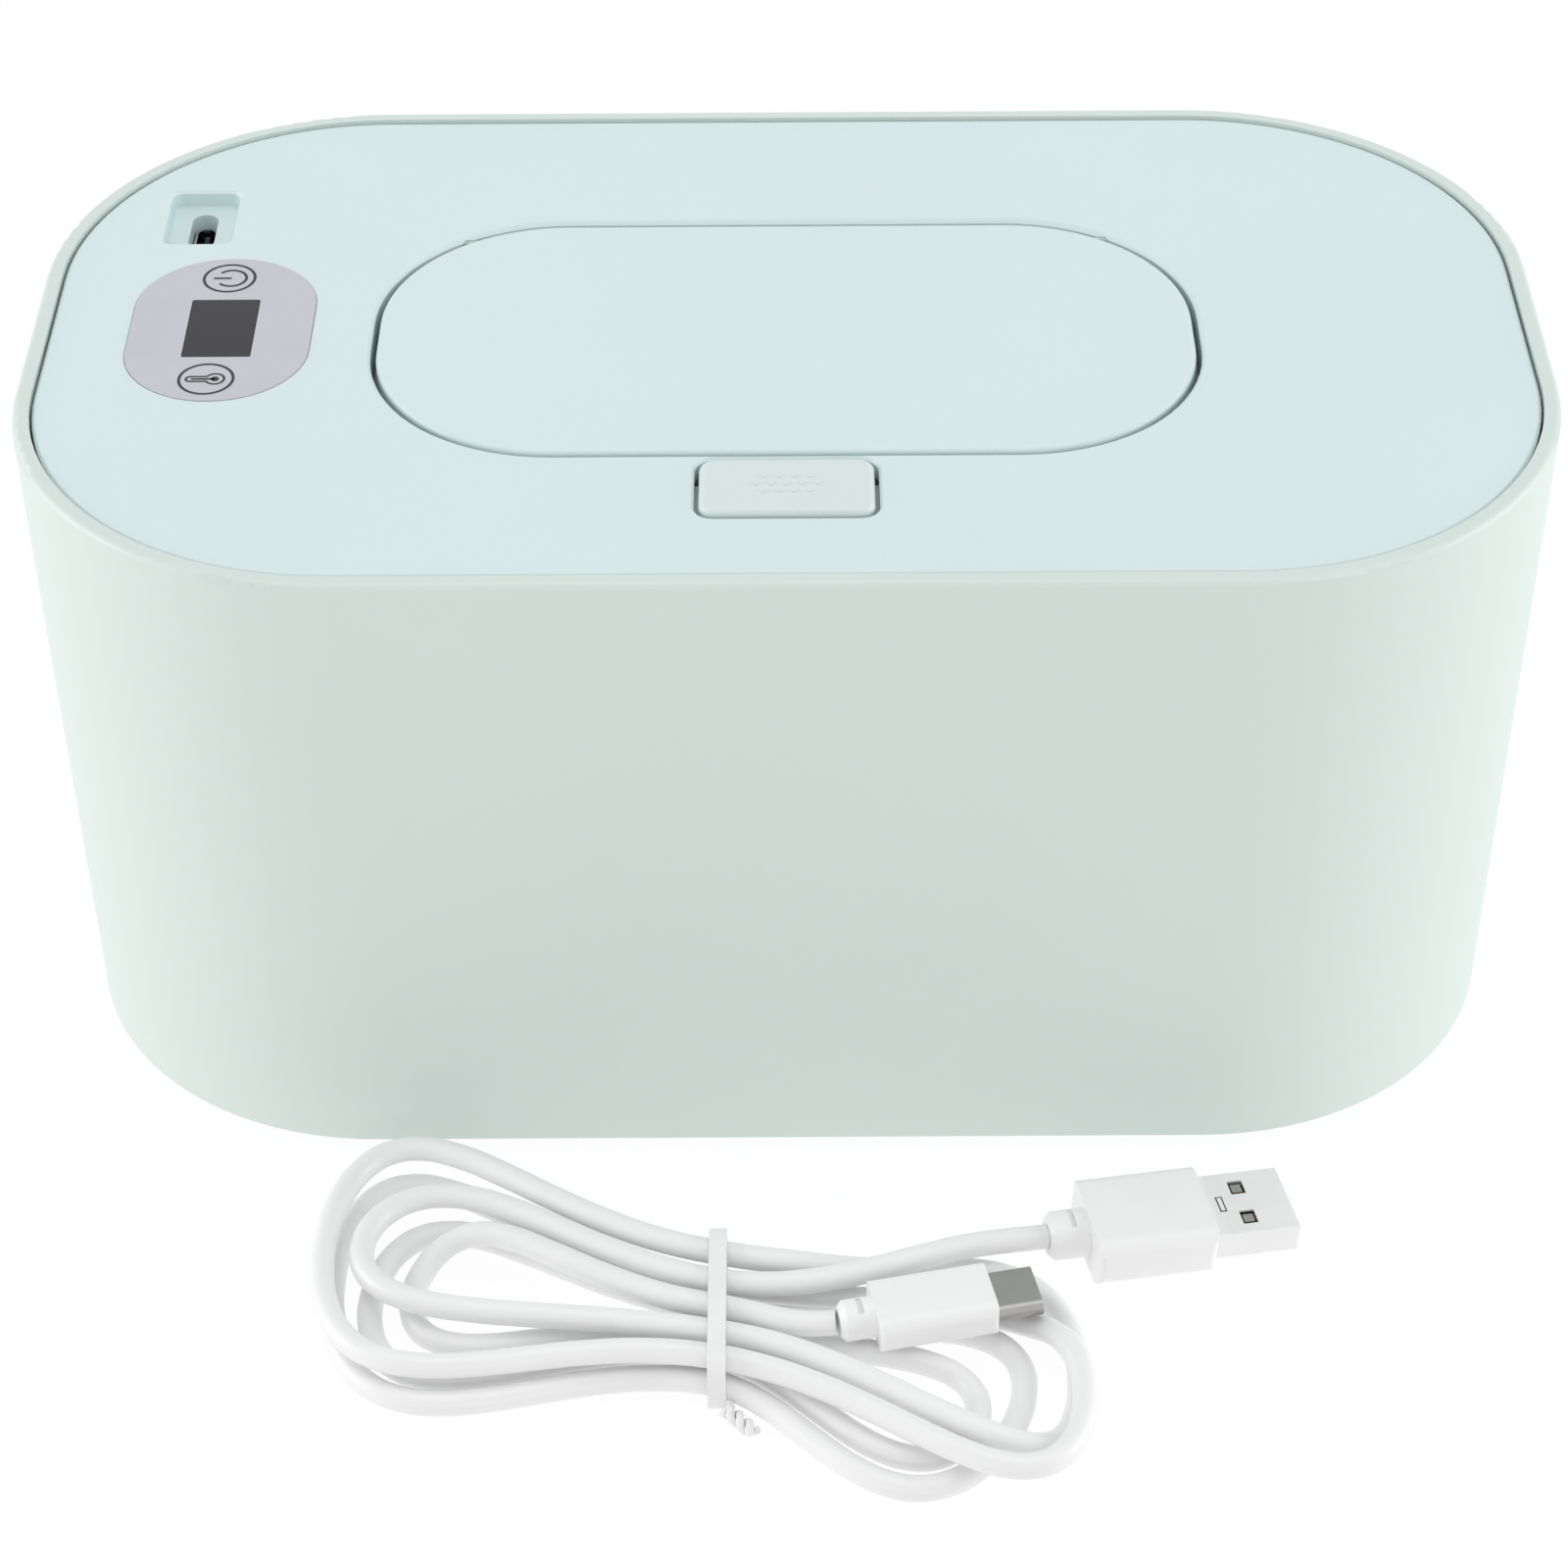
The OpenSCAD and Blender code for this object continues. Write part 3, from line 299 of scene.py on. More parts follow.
    # Painted shade: a dark flat colour standing in for the shade in the hollow of a screw's cross
    # recess and of the type A shell's slot
    PAINTED_SHADE = Finish("painted recess shade", "1C1D20", 0.7, grain_mm=0.2, depth=0.1)


@dataclass
class SubAssembly:
    """A group of solids of the frame, what dresses them and what is added to them.

    Args:
        finishes: Solid's name to its finish.
    """

    finishes: dict[str, Finish] = field(default_factory=dict)

    def build(self) -> None:
        """Adds the group's own pieces; a plain group has none."""

    def dress(self, solids: dict[str, bpy.types.Object]) -> None:
        """Assigns the finishes to the solids' own slots.

        Args:
            solids: The frame's solids by name.
        """
        for name, finish in self.finishes.items():
            solids[name].data.materials.clear()
            solids[name].data.materials.append(finish.build())
            LOG.info("%s: %s", name, finish.name)


def new_piece(name: str, mesh: bpy.types.Mesh, finish: Finish, body: str) -> bpy.types.Object:
    """Makes an object of a mesh, in place, and lets it ride on a body.

    Args:
        name: The piece's name.
        mesh: Its mesh, in metres, in place.
        finish: Its finish.
        body: The body that carries it.

    Returns:
        The object.
    """
    piece = bpy.data.objects.new(name, mesh)
    bpy.context.scene.collection.objects.link(piece)
    mesh.materials.clear()
    mesh.materials.append(finish.build())
    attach(piece, body)
    LOG.info("%s: %d faces on %s", name, len(mesh.polygons), body)
    return piece


def ribbon(points: Sequence[Point2], width: float, closed: bool = False) -> Strip:
    """Outlines a line of even width.

    Args:
        points: The line's middle, in millimetres.
        width: Its width in millimetres.
        closed: Whether the line returns to its start.

    Returns:
        Corner points and four-sided faces.
    """
    count = len(points)
    corners: list[Point2] = []
    for i, (x, y) in enumerate(points):
        before = points[(i - 1) % count] if closed or i else points[i]
        after = points[(i + 1) % count] if closed or i < count - 1 else points[i]
        along = Vector((after[0] - before[0], after[1] - before[1])).normalized()
        corners += [(x - along.y * width / 2, y + along.x * width / 2),
                    (x + along.y * width / 2, y - along.x * width / 2)]
    faces = [(2 * i, 2 * i + 1, (2 * i + 3) % (2 * count), (2 * i + 2) % (2 * count))
             for i in range(count if closed else count - 1)]
    return corners, faces


def arc(centre: Point2, radius: float, start: float, end: float, steps: int = 40) -> list[Point2]:
    """Points of an arc, its angles in degrees, in millimetres."""
    turns = [math.radians(start + (end - start) * i / steps) for i in range(steps + 1)]
    return [(centre[0] + radius * math.cos(t), centre[1] + radius * math.sin(t)) for t in turns]


def ring(centre: Point2, radius: float, width: float, steps: int = 72) -> Strip:
    """Outlines a closed ring of even width, in millimetres."""
    return ribbon(arc(centre, radius, 0, 360, steps)[:-1], width, closed=True)


def ease(share: float) -> float:
    """Eases a share from 0 to 1, and holds it there beyond."""
    held = min(max(share, 0.0), 1.0)
    return held * held * (3 - 2 * held)


@dataclass(frozen=True)
class Waist:
    """A place of the cable inside the tie.

    Args:
        back: Distance behind the tie's middle in millimetres.
        height: Height above the floor in millimetres.
    """

    back: float
    height: float


@dataclass(frozen=True)
class Lobe:
    """One lobe of the hank between two places in the tie.

    Args:
        reach: How far it goes out from the tie, in millimetres.
        fullness: How much wider it is than its two ends.
        shift: How far its far end lies towards the back.
        start: Share of the lobe at which it changes its layer.
        end: Share at which that change ends, or at which a dipping lobe rises again.
        lean: How far it leans out early.
    """

    reach: float
    fullness: float
    shift: float
    start: float
    end: float
    lean: float


# Heights of the hank's two layers above the floor, in millimetres
LOW, HIGH = 2.95, 7.25


@dataclass
class Cable(SubAssembly):
    """The charging cable: two leads and a hank of nine lobes held by a tie, in millimetres.

    Args:
        middle: The tie's middle on the floor.
        turn: How far the hank is turned about it, in degrees.
        diameter: The cable's diameter.
        sink: How far a lobe's far end sags.
        steps: Points on each lobe.
        dipping: Number of the lobe that dips to the low layer and rises again.
        dip_over: Share of a lobe that a dip or a rise takes.
        waist: The hank's places in the tie, in the cable's order.
        lobes: The lobes between them.
        lead_a: The lead from the type A plug to the tie, from the tie's middle.
        lead_c: The lead from the tie to the type C plug.
    """

    middle: Point2 = (-10.2, -99.1)
    turn: float = -11.0
    diameter: float = 3.6
    sink: float = 0.85
    steps: int = 20
    dipping: int = 1
    dip_over: float = 0.2
    waist: tuple[Waist, ...] = (
        Waist(4.83, HIGH), Waist(-4.68, HIGH), Waist(10.13, HIGH), Waist(-9.2, HIGH),
        Waist(7.79, LOW), Waist(-10.1, LOW), Waist(3.19, LOW), Waist(-5.43, LOW),
        Waist(-1.05, LOW), Waist(0.03, HIGH),
    )
    lobes: tuple[Lobe, ...] = (
        Lobe(51.25, 18.88, 7.13, 0.78, 0.965, -3.25),
        Lobe(50.66, 31.67, -2.75, 0.242, 0.796, 2.82),
        Lobe(57.19, 38.06, 3.9, 0.8, 0.971, 2.28),
        Lobe(52.24, 24.52, -8.36, 0.596, 0.748, 0.42),
        Lobe(55.34, 38.47, 1.5, 0.062, 0.219, 4.04),
        Lobe(41.9, 25.08, -9.36, 0.103, 0.627, -5.96),
        Lobe(48.92, 29.1, -1.61, 0.029, 0.248, 1.82),
        Lobe(36.93, 15.93, -10.0, 0.072, 0.381, -4.26),
        Lobe(43.5, 22.59, 0.24, 0.496, 0.75, -0.36),
    )
    lead_a: tuple[Point, ...] = (
        (46.135, 15.096, 5.254), (40.473, 13.607, 6.003),
        (34.825, 11.707, 6.873), (29.185, 9.629, 7.204),
        (23.548, 7.607, HIGH), (17.909, 5.874, HIGH),
        (12.262, 4.663, HIGH), (6.602, 4.207, HIGH),
    )
    lead_c: tuple[Point, ...] = (
        (4.122, -1.182, 7.258), (8.217, -2.715, 7.517),
        (12.308, -3.829, 7.835), (16.21, -3.825, 7.94),
    )
    finishes: dict[str, Finish] = field(default_factory=lambda: {"cable_tie": Finishes.TIE})

    def _lobe_point(self, index: int, share: float) -> Point:
        """Finds a point of a lobe, seen from the tie.

        Args:
            index: Which lobe.
            share: How far along it, from 0 to 1.

        Returns:
            The point in millimetres.
        """
        first, last, lobe = self.waist[index], self.waist[index + 1], self.lobes[index]
        turn = math.pi * share
        far = math.sin(turn) ** 2
        half = (first.back - last.back) / 2
        side = -1 if index % 2 == 0 else 1
        under = LOW if index == self.dipping else last.height
        over = self.dip_over if index == self.dipping else lobe.end - lobe.start
        out = side * (lobe.reach * math.sin(turn) + lobe.lean * math.sin(2 * turn))
        back = ((first.back + last.back) / 2 + lobe.shift * far
                + (half + math.copysign(lobe.fullness * far, half)) * math.cos(turn))
        height = (first.height + (under - first.height) * ease((share - lobe.start) / over)
                  + (last.height - under) * ease((share - lobe.end) / self.dip_over)
                  - self.sink * far)
        return (out, back, height)

    def route(self) -> list[Vector]:
        """Lays out the whole cable's middle line.

        Returns:
            Its points in metres, from the type A plug to the type C plug.
        """
        hank = [self._lobe_point(index, i / self.steps)
                for index in range(len(self.lobes)) for i in range(self.steps)]
        hank.append((0.0, self.waist[-1].back, self.waist[-1].height))
        turn = Matrix.Rotation(math.radians(self.turn), 3, "Z")
        points = [*self.lead_a, *(turn @ Vector(p) for p in hank), *self.lead_c]
        return [Vector((self.middle[0] + x, self.middle[1] + y, z)) * MM for x, y, z in points]

    def build(self) -> None:
        """Lays the cable along its route, as a curve of one open spline."""
        points = self.route()
        curve = bpy.data.curves.new("charging_cable", "CURVE")
        curve.dimensions = "3D"
        curve.bevel_depth = self.diameter / 2 * MM
        curve.bevel_resolution = 4
        curve.resolution_u = 4
        curve.use_fill_caps = True
        spline = curve.splines.new("BEZIER")
        spline.bezier_points.add(len(points) - 1)
        for knot, point in zip(spline.bezier_points, points):
            knot.co = point
            knot.handle_left_type = knot.handle_right_type = "AUTO"
        cable = bpy.data.objects.new("charging_cable", curve)
        bpy.context.scene.collection.objects.link(cable)
        curve.materials.append(Finishes.JACKET.build())
        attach(cable, "root")
        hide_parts("cable_hank", "cable_run_a", "cable_run_c")


class Shape(Enum):
    """Shapes that a pattern repeats."""

    # The cross is painted shade that stands for the hollow of a screw's cross recess
    CROSS = "cross recess of a screw"
    BAR = "flat bar"


@dataclass
class Pattern:
    """A small shape repeated at given places by a node tree.

    Args:
        name: The piece's name.
        shape: What is repeated.
        places: Where, in millimetres, in the pattern's own frame.
        length: Length of the shape in millimetres.
        width: Its width.
        height: Its height.
        finish: Its finish.
        body: The body that carries it.
        slot: The record's material slot; not used.
        place: Turns and moves the pattern's own frame into the object's, in millimetres.
    """

    name: str
    shape: Shape
    places: Sequence[Point]
    length: float
    width: float
    height: float
    finish: Finish
    body: str
    slot: str
    place: Matrix = field(default_factory=lambda: Matrix.Identity(4))

    def _shape(self, tree: Tree, size: dict[str, Socket]) -> Socket:
        """Builds the shape that is repeated.

        Args:
            tree: The node tree.
            size: The tree's inputs by name.

        Returns:
            The shape's geometry.
        """
        first = add_node(tree, "ShaderNodeCombineXYZ",
                         {"X": size["Length"], "Y": size["Width"], "Z": size["Height"]})
        bar = add_node(tree, "GeometryNodeMeshCube", {"Size": first.outputs[0]})
        if self.shape is Shape.BAR:
            return bar.outputs[0]
        second = add_node(tree, "ShaderNodeCombineXYZ",
                          {"X": size["Width"], "Y": size["Length"], "Z": size["Height"]})
        other = add_node(tree, "GeometryNodeMeshCube", {"Size": second.outputs[0]})
        both = add_node(tree, "GeometryNodeJoinGeometry", {"Geometry": bar.outputs[0]})
        tree.links.new(other.outputs[0], both.inputs[0])
        return both.outputs[0]

    def _tree(self) -> Tree:
        """Builds the tree that repeats the shape on the points.

        Returns:
            The tree, with the shape's measures as named inputs.
        """
        tree = bpy.data.node_groups.new(self.name, "GeometryNodeTree")
        face = tree.interface
        face.new_socket("Geometry", in_out="INPUT", socket_type="NodeSocketGeometry")
        for label in ("Length", "Width", "Height"):
            face.new_socket(label, in_out="INPUT", socket_type="NodeSocketFloat")
        face.new_socket("Geometry", in_out="OUTPUT", socket_type="NodeSocketGeometry")
        start = add_node(tree, "NodeGroupInput")
        size = {label: start.outputs[label] for label in ("Length", "Width", "Height")}
        spread = add_node(tree, "GeometryNodeInstanceOnPoints",
                          {"Points": start.outputs["Geometry"],
                           "Instance": self._shape(tree, size)})
        real = add_node(tree, "GeometryNodeRealizeInstances", {"Geometry": spread.outputs[0]})
        dressed = add_node(tree, "GeometryNodeSetMaterial", {"Geometry": real.outputs[0]},
                           {"Material": self.finish.build()})
        add_node(tree, "NodeGroupOutput", {"Geometry": dressed.outputs[0]})
        return tree

    def build(self) -> bpy.types.Object:
        """Repeats the shape and turns the result into a plain mesh.

        Returns:
            The piece.
        """
        seed = bpy.data.meshes.new(self.name + "_places")
        seed.from_pydata([tuple(c * MM for c in p) for p in self.places], [], [])
        maker = bpy.data.objects.new(self.name + "_places", seed)
        bpy.context.scene.collection.objects.link(maker)
        modifier = maker.modifiers.new("repeat", "NODES")
        modifier.node_group = self._tree()
        sizes = {"Length": self.length, "Width": self.width, "Height": self.height}
        for item in modifier.node_group.interface.items_tree:
            if item.in_out == "INPUT" and item.name in sizes:
                modifier[item.identifier] = sizes[item.name] * MM
        bpy.context.view_layer.update()
        shown = maker.evaluated_get(bpy.context.evaluated_depsgraph_get())
        mesh = bpy.data.meshes.new_from_object(shown)
        mesh.name = self.name
        bpy.data.objects.remove(maker)
        shift = self.place.copy()
        shift.translation *= MM
        mesh.transform(shift)
        return new_piece(self.name, mesh, self.finish, self.body)


# Length, width and height of each bar of the painted shade in a screw's cross recess, in
# millimetres
RECESS_SHADE = (2.3, 0.55, 0.04)


def paint_recess_shade(name: str, screws: str, places: Iterable[Point2]) -> None:
    """Paints the shade in the cross recesses of a group of screws that face down, as dark flat
    crosses on their heads.

    Args:
        name: The new piece's name.
        screws: The solid that holds the screws.
        places: Where the screws are, in millimetres.
    """
    head_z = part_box(screws)[0][2] / MM
    Pattern(name, Shape.CROSS, [(x, y, head_z) for x, y in places], *RECESS_SHADE, Finishes.PAINTED_SHADE,
            "top", "black_plastic").build()


@dataclass
class Plugs(SubAssembly):
    """The two plugs of the cable and the small parts of the type A shell, in millimetres.

    Args:
        turn: How far the type A plug is turned on the floor, in degrees.
        pitch: How far its nose dips, in degrees.
        rear_a: The middle of its grip's rear face.
        grip_a: Length of its grip, from which the places ahead are counted.
        shell_height: Height of its shell.
        window_at: How far ahead and to the side the middle of a window is.
        tab: Length, width and height of the spring tab in a window.
        tab_sink: How far a tab's middle lies inside the shell's face.
        contact_at: How far ahead and up the middle of a contact is.
        contact_rows: How far to the side each contact is.
        contact: Length, width and height of a contact.
        slot_at: How far ahead the slot of the shell is.
        slot: Length, width and height of its painted shade, a dark bar.
        key: Length, width and height of the bright bar in it.
    """

    turn: float = 12.0
    pitch: float = 3.0
    rear_a: Point = (41.6, -82.8, 4.95)
    grip_a: float = 17.5
    shell_height: float = 4.5
    window_at: Point2 = (5.6, 3.0)
    tab: Point = (1.5, 1.5, 0.2)
    tab_sink: float = 0.35
    contact_at: Point2 = (8.2, 0.02)
    contact_rows: tuple[float, ...] = (-3.5, -1.0, 1.0, 3.5)
    contact: Point = (6.4, 1.0, 0.08)
    slot_at: float = 2.4
    slot: Point = (1.0, 3.0, 0.03)
    key: Point = (0.6, 2.6, 0.06)
    finishes: dict[str, Finish] = field(default_factory=lambda: {
        "usb_a_grip": Finishes.GRIP, "usb_a_shell": Finishes.TIN,
        # Painted shade: the type A tongue takes black nylon instead of its own white, so that the
        # shell's windows show dark
        "usb_a_tongue": Finishes.BLACK, "usb_c_grip": Finishes.GRIP,
        "usb_c_shell": Finishes.SATIN})

    def build(self) -> None:
        """Adds the spring tabs, the contacts and the slot of the type A plug, its slot as painted
        shade.
        """
        place = (Matrix.Translation(self.rear_a)
                 @ Matrix.Rotation(math.radians(self.turn), 4, "Z")
                 @ Matrix.Rotation(math.radians(self.pitch), 4, "Y"))
        top = self.shell_height / 2
        ahead, side = self.window_at
        windows = [(self.grip_a + ahead, s * side, f * (top - self.tab_sink))
                   for s in (-1, 1) for f in (-1, 1)]
        rows = [(self.grip_a + self.contact_at[0], y, self.contact_at[1])
                for y in self.contact_rows]
        slots = [(self.grip_a + self.slot_at, 0, top)]
        for name, places, size, finish in (
                ("plug_spring_tabs", windows, self.tab, Finishes.SATIN),
                ("plug_contacts", rows, self.contact, Finishes.GOLD),
                ("plug_slot_shade", slots, self.slot, Finishes.PAINTED_SHADE),
                ("plug_shell_key", slots, self.key, Finishes.TIN)):
            Pattern(name, Shape.BAR, places, *size, finish, "root", "steel", place).build()


@dataclass
class Tub(SubAssembly):
    """The outer shell on its rubber feet."""

    finishes: dict[str, Finish] = field(default_factory=lambda: {
        "outer_shell": Finishes.TUB, "rubber_feet": Finishes.RUBBER})


@dataclass
class Deck(SubAssembly):
    """The lift-out top with its cover, seal, screws and springs.

    Args:
        screw_places: The screws of the right half, in millimetres; the left half mirrors them.
    """

    screw_places: tuple[Point2, ...] = ((98.5, 17.0), (98.5, -17.0), (52.5, 49.5))
    finishes: dict[str, Finish] = field(default_factory=lambda: {
        "top_deck": Finishes.DECK, "under_cover": Finishes.TUB, "deck_seal": Finishes.SILICONE,
        "deck_screws": Finishes.STEEL, "pop_up_spring": Finishes.SPRING,
        "button_spring": Finishes.SPRING})

    def build(self) -> None:
        """Paints dark crosses on the screws under the cover, as the shade in their recesses."""
        paint_recess_shade("deck_screw_recess_shade", "deck_screws",
                      [(s * x, y) for s in (-1, 1) for x, y in self.screw_places])


@dataclass
class Heater(SubAssembly):
    """The heater stack under the top.

    Args:
        screw_at: One of the four screws, in millimetres; the others mirror it.
    """

    screw_at: Point2 = (61.0, 28.0)
    finishes: dict[str, Finish] = field(default_factory=lambda: {
        "heater_plate": Finishes.ALUMINIUM, "heater_film": Finishes.KAPTON,
        "insulation_pad": Finishes.FOAM, "heater_screws": Finishes.STEEL,
        "thermal_fuse": Finishes.CERAMIC, "temperature_sensor": Finishes.BLACK,
        "heater_leads": Finishes.LEAD})

    def build(self) -> None:
        """Paints dark crosses on the screws in the heater plate, as the shade in their recesses.
        """
        x, y = self.screw_at
        paint_recess_shade("heater_screw_recess_shade", "heater_screws",
                      [(sx * x, sy * y) for sx in (-1, 1) for sy in (-1, 1)])


@dataclass
class Electronics(SubAssembly):
    """The control board and what stands on it."""

    finishes: dict[str, Finish] = field(default_factory=lambda: {
        "control_board": Finishes.BOARD, "board_chips": Finishes.BLACK,
        "board_screws": Finishes.STEEL, "touch_springs": Finishes.SPRING,
        "display_module": Finishes.BLACK, "usb_socket_shell": Finishes.STEEL,
        "usb_socket_tongue": Finishes.BLACK})


@dataclass
class Lid(SubAssembly):
    """The hinged lid with its liner, seal and pins."""

    finishes: dict[str, Finish] = field(default_factory=lambda: {
        "lid": Finishes.LID, "lid_liner": Finishes.LINER, "lid_seal": Finishes.SILICONE,
        "hinge_pins": Finishes.PIN})


@dataclass
class LatchButton(SubAssembly):
    """The latch button in front of the lid."""

    finishes: dict[str, Finish] = field(default_factory=lambda: {"latch_button": Finishes.BUTTON})


@dataclass
class ControlPanel(SubAssembly):
    """The panel film, its window, and the generic power and thermometer signs on it.

    Args:
        ink: Height of the print above the film, like all the rest in millimetres.
        line: Width of a printed line.
        power_at: Middle of the power sign.
        power_ring: Radius of the ring around it.
        power_arc: Radius of its open ring.
        power_open: Where that ring starts and ends, in degrees.
        power_shift: How far to the right its middle lies.
        power_bar: How far to the left its bar starts.
        heat_at: Middle of the thermometer.
        heat_ring: Radius of the ring around it.
        heat_line: Width of its outline.
        bulb: Radius of its bulb.
        bulb_shift: How far to the right the bulb lies.
        stem: Half the width of its stem.
        stem_end: How far to the left the stem's round end lies.
        column: How far to the left the column in the stem starts.
        drop: Radius and line width of the drop in the bulb.
    """

    ink: float = 0.03
    line: float = 0.42
    power_at: Point2 = (-80.7, 14.45)
    power_ring: float = 3.68
    power_arc: float = 2.15
    power_open: Point2 = (222, 498)
    power_shift: float = 0.3
    power_bar: float = 2.3
    heat_at: Point2 = (-81.2, -12.3)
    heat_ring: float = 3.8
    heat_line: float = 0.336
    bulb: float = 1.3
    bulb_shift: float = 1.25
    stem: float = 0.62
    stem_end: float = 2.2
    column: float = 2.1
    drop: Point2 = (0.3, 0.58)
    finishes: dict[str, Finish] = field(default_factory=lambda: {
        "control_panel": Finishes.FILM, "display_window": Finishes.LENS})

    def _flat(self, name: str, strokes: Iterable[Strip]) -> bpy.types.Object:
        """Makes one printed sign of its strokes.

        Args:
            name: The piece's name.
            strokes: Corner points and faces of each stroke, in millimetres.

        Returns:
            The sign.
        """
        shape = bmesh.new()
        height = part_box("control_panel")[1][2] + self.ink * MM
        for corners, faces in strokes:
            made = [shape.verts.new((x * MM, y * MM, height)) for x, y in corners]
            for face in faces:
                shape.faces.new([made[i] for i in face])
        bmesh.ops.recalc_face_normals(shape, faces=shape.faces)
        for face in shape.faces:
            if face.normal.z < 0:
                face.normal_flip()
        mesh = bpy.data.meshes.new(name)
        shape.to_mesh(mesh)
        shape.free()
        return new_piece(name, mesh, Finishes.INK, "top")

    def build(self) -> None:
        """Prints both signs; their upper ends point to the panel's left."""
        x, y = self.power_at
        middle = x + self.power_shift
        self._flat("power_sign", [
            ring((x, y), self.power_ring, self.line),
            ribbon(arc((middle, y), self.power_arc, *self.power_open), self.line),
            ribbon([(x - self.power_bar, y), (middle, y)], self.line),
        ])
        x, y = self.heat_at
        right = x + self.bulb_shift
        open_by = math.degrees(math.asin(self.stem / self.bulb))
        outline = (arc((right, y), self.bulb, 180 + open_by, 540 - open_by)
                   + arc((x - self.stem_end, y), self.stem, 90, 270, steps=14))
        self._flat("heat_sign", [
            ring((x, y), self.heat_ring, self.line),
            ribbon(outline, self.heat_line, closed=True),
            ribbon([(x - self.column, y), (right, y)], self.line),
            ring((right, y), *self.drop, steps=24),
        ])


@dataclass(frozen=True)
class Lamp:
    """A square soft lamp.

    Args:
        name: The lamp's name.
        place: Where it hangs, in metres.
        aim: The point that it faces.
        size: Its side in metres.
        watts: Its power.
    """

    name: str
    place: Point
    aim: Point
    size: float
    watts: float

    def build(self) -> None:
        """Hangs the lamp, facing its aim."""
        data = bpy.data.lights.new(self.name, "AREA")
        data.shape = "SQUARE"
        data.size, data.energy = self.size, self.watts
        lamp = bpy.data.objects.new(self.name, data)
        bpy.context.scene.collection.objects.link(lamp)
        lamp.location = self.place
        facing = Vector(self.aim) - Vector(self.place)
        lamp.rotation_euler = facing.to_track_quat("-Z", "Y").to_euler()


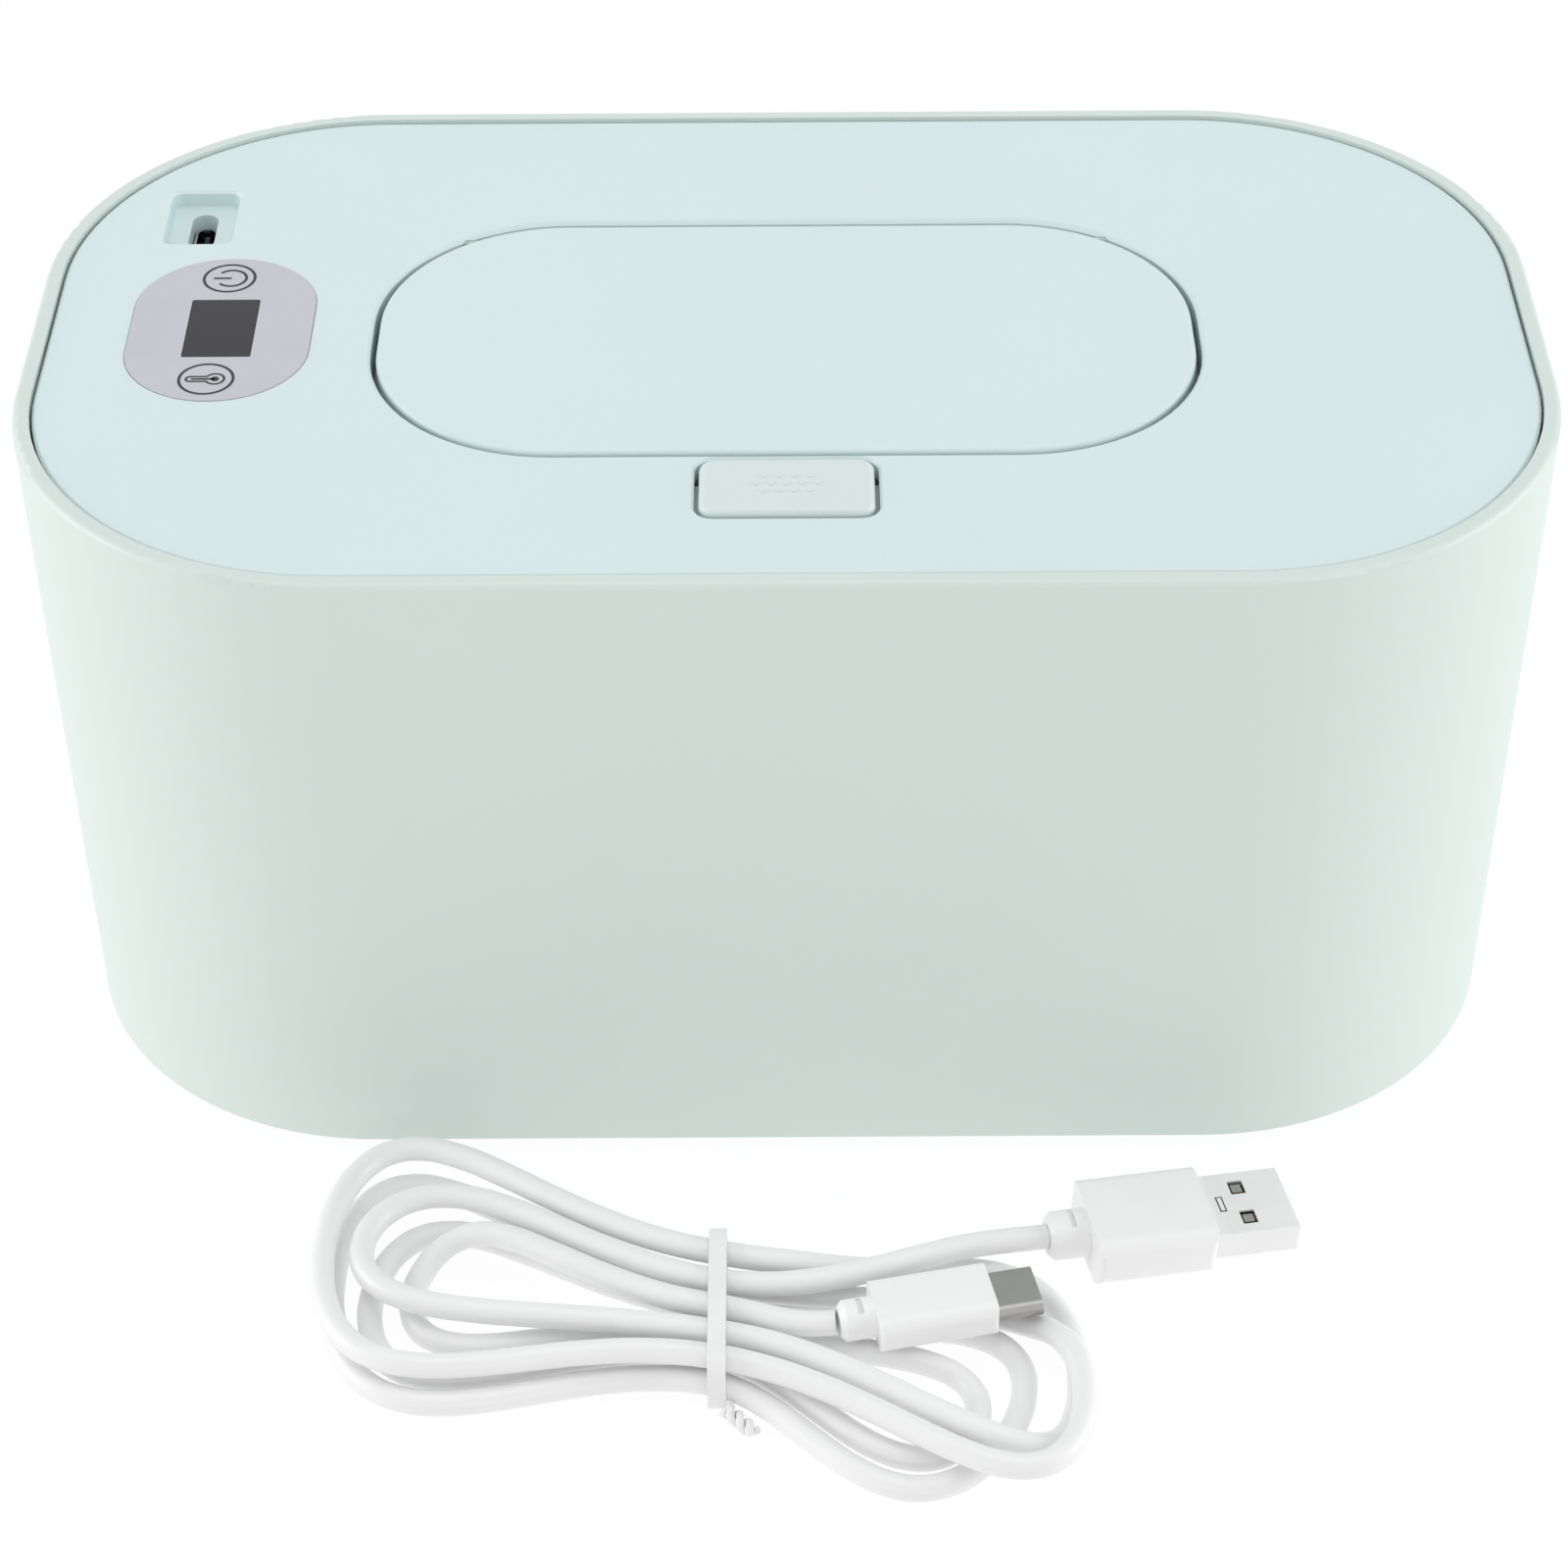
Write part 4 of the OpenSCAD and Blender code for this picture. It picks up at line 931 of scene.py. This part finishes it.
@dataclass
class Studio:
    """White studio: floor, world, soft lamps and the camera at the photograph's place.

    Args:
        lens: The camera's focal length in millimetres.
        sensor: Its sensor's width in millimetres.
        clip: Nearest and farthest distance that it sees, in metres.
        eye: Where it stands, in metres.
        right: Its own right direction.
        up: Its own up direction.
        back: The direction behind it.
        sky: The world's strength as a light.
        floor_half: Half the floor's side in metres.
        floor_drop: How far the floor lies under the object, in metres.
        floor_rough: The paper's roughness.
        floor_glow: The strength of its glow.
        glow_lit: Share of the glow in the light that the floor gives.
        glow_seen: Share of the glow in what is seen of it; the rest takes the shadows.
        lamps: The soft lamps.
    """

    lens: float = 91.497
    sensor: float = 36.0
    clip: Point2 = (0.01, 20)
    eye: Point = (0.00009, -0.48303, 0.40741)
    right: Point = (0.99998, -0.00248, -0.00512)
    up: Point = (0.00555, 0.62553, 0.78018)
    back: Point = (0.00127, -0.78019, 0.62554)
    sky: float = 0.62
    floor_half: float = 3.0
    floor_drop: float = 0.0002
    floor_rough: float = 0.9
    floor_glow: float = 1.02
    glow_lit: float = 0.95
    glow_seen: float = 0.87
    lamps: tuple[Lamp, ...] = (
        Lamp("overhead box", (0.0, 0.0, 1.3), (0.0, 0.0, 0.05), 1.0, 3.0),
        Lamp("front box", (0.0, -1.3, 0.25), (0.0, 0.0, 0.04), 1.0, 1.8),
        Lamp("left box", (-1.3, 0.0, 0.45), (-0.05, 0.0, 0.05), 0.9, 7.0),
        Lamp("right box", (1.3, 0.0, 0.45), (0.05, 0.0, 0.05), 0.9, 7.0),
    )

    def _shown(self, tree: Tree) -> Socket:
        """Tells the rays that show a thing from those that light it.

        Args:
            tree: The world's or the floor's tree.

        Returns:
            A socket of 1 for camera, mirror and glass rays, and of 0 for the rest.
        """
        path = add_node(tree, "ShaderNodeLightPath")
        first = add_node(tree, "ShaderNodeMath", {0: path.outputs["Is Camera Ray"],
                                                  1: path.outputs["Is Glossy Ray"]},
                         operation="MAXIMUM")
        return add_node(tree, "ShaderNodeMath", {0: first.outputs[0],
                                                 1: path.outputs["Is Transmission Ray"]},
                        operation="MAXIMUM").outputs[0]

    def _world(self) -> None:
        """Makes the world white to the eye and a little dimmer as a light."""
        world = bpy.data.worlds.new("studio")
        bpy.context.scene.world = world
        world.use_nodes = True
        tree = world.node_tree
        background = tree.nodes["Background"]
        background.inputs["Color"].default_value = (1, 1, 1, 1)
        level = add_node(tree, "ShaderNodeMapRange", {"Value": self._shown(tree)},
                         {"To Min": self.sky, "To Max": 1.0})
        tree.links.new(level.outputs[0], background.inputs["Strength"])

    def _floor(self) -> None:
        """Lays the white floor, which keeps a faint shadow."""
        half = self.floor_half
        corners = [(-half, -half, 0), (half, -half, 0), (half, half, 0), (-half, half, 0)]
        mesh = bpy.data.meshes.new("floor")
        mesh.from_pydata(corners, [], [(0, 1, 2, 3)])
        floor = bpy.data.objects.new("floor", mesh)
        bpy.context.scene.collection.objects.link(floor)
        floor.location.z = -self.floor_drop
        paper = bpy.data.materials.new("white paper sweep")
        paper.use_nodes = True
        tree = paper.node_tree
        shader = tree.nodes["Principled BSDF"]
        shader.inputs["Base Color"].default_value = linear("FFFFFF")
        shader.inputs["Roughness"].default_value = self.floor_rough
        glow = add_node(tree, "ShaderNodeEmission",
                        values={"Color": (1, 1, 1, 1), "Strength": self.floor_glow})
        share = add_node(tree, "ShaderNodeMapRange", {"Value": self._shown(tree)},
                         {"To Min": self.glow_lit, "To Max": self.glow_seen})
        mix = add_node(tree, "ShaderNodeMixShader",
                       {0: share.outputs[0], 1: shader.outputs[0], 2: glow.outputs[0]})
        tree.links.new(mix.outputs[0], tree.nodes["Material Output"].inputs["Surface"])
        mesh.materials.append(paper)

    def _camera(self) -> None:
        """Sets the camera where the photograph was taken from."""
        data = bpy.data.cameras.new("photo camera")
        data.lens, data.sensor_width = self.lens, self.sensor
        data.clip_start, data.clip_end = self.clip
        camera = bpy.data.objects.new("photo camera", data)
        bpy.context.scene.collection.objects.link(camera)
        place = Matrix((self.right, self.up, self.back)).transposed().to_4x4()
        place.translation = Vector(self.eye)
        camera.matrix_world = place
        bpy.context.scene.camera = camera

    def build(self) -> None:
        """Builds the camera, the world, the floor and the lamps."""
        bpy.context.scene.view_settings.view_transform = "Standard"
        self._camera()
        self._world()
        self._floor()
        for lamp in self.lamps:
            lamp.build()


def main() -> None:
    """Builds the studio, the cable and the object's sub-assemblies, and reports each piece."""
    logging.basicConfig(level=logging.INFO, format="%(message)s")
    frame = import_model()
    Studio().build()
    parts = (Cable(), Plugs(), Tub(), Deck(), Heater(), Electronics(), ControlPanel(), Lid(),
             LatchButton())
    for part in parts:
        part.build()
        part.dress(frame["nodes"])
    bpy.context.view_layer.update()


if __name__ == "__main__":
    main()
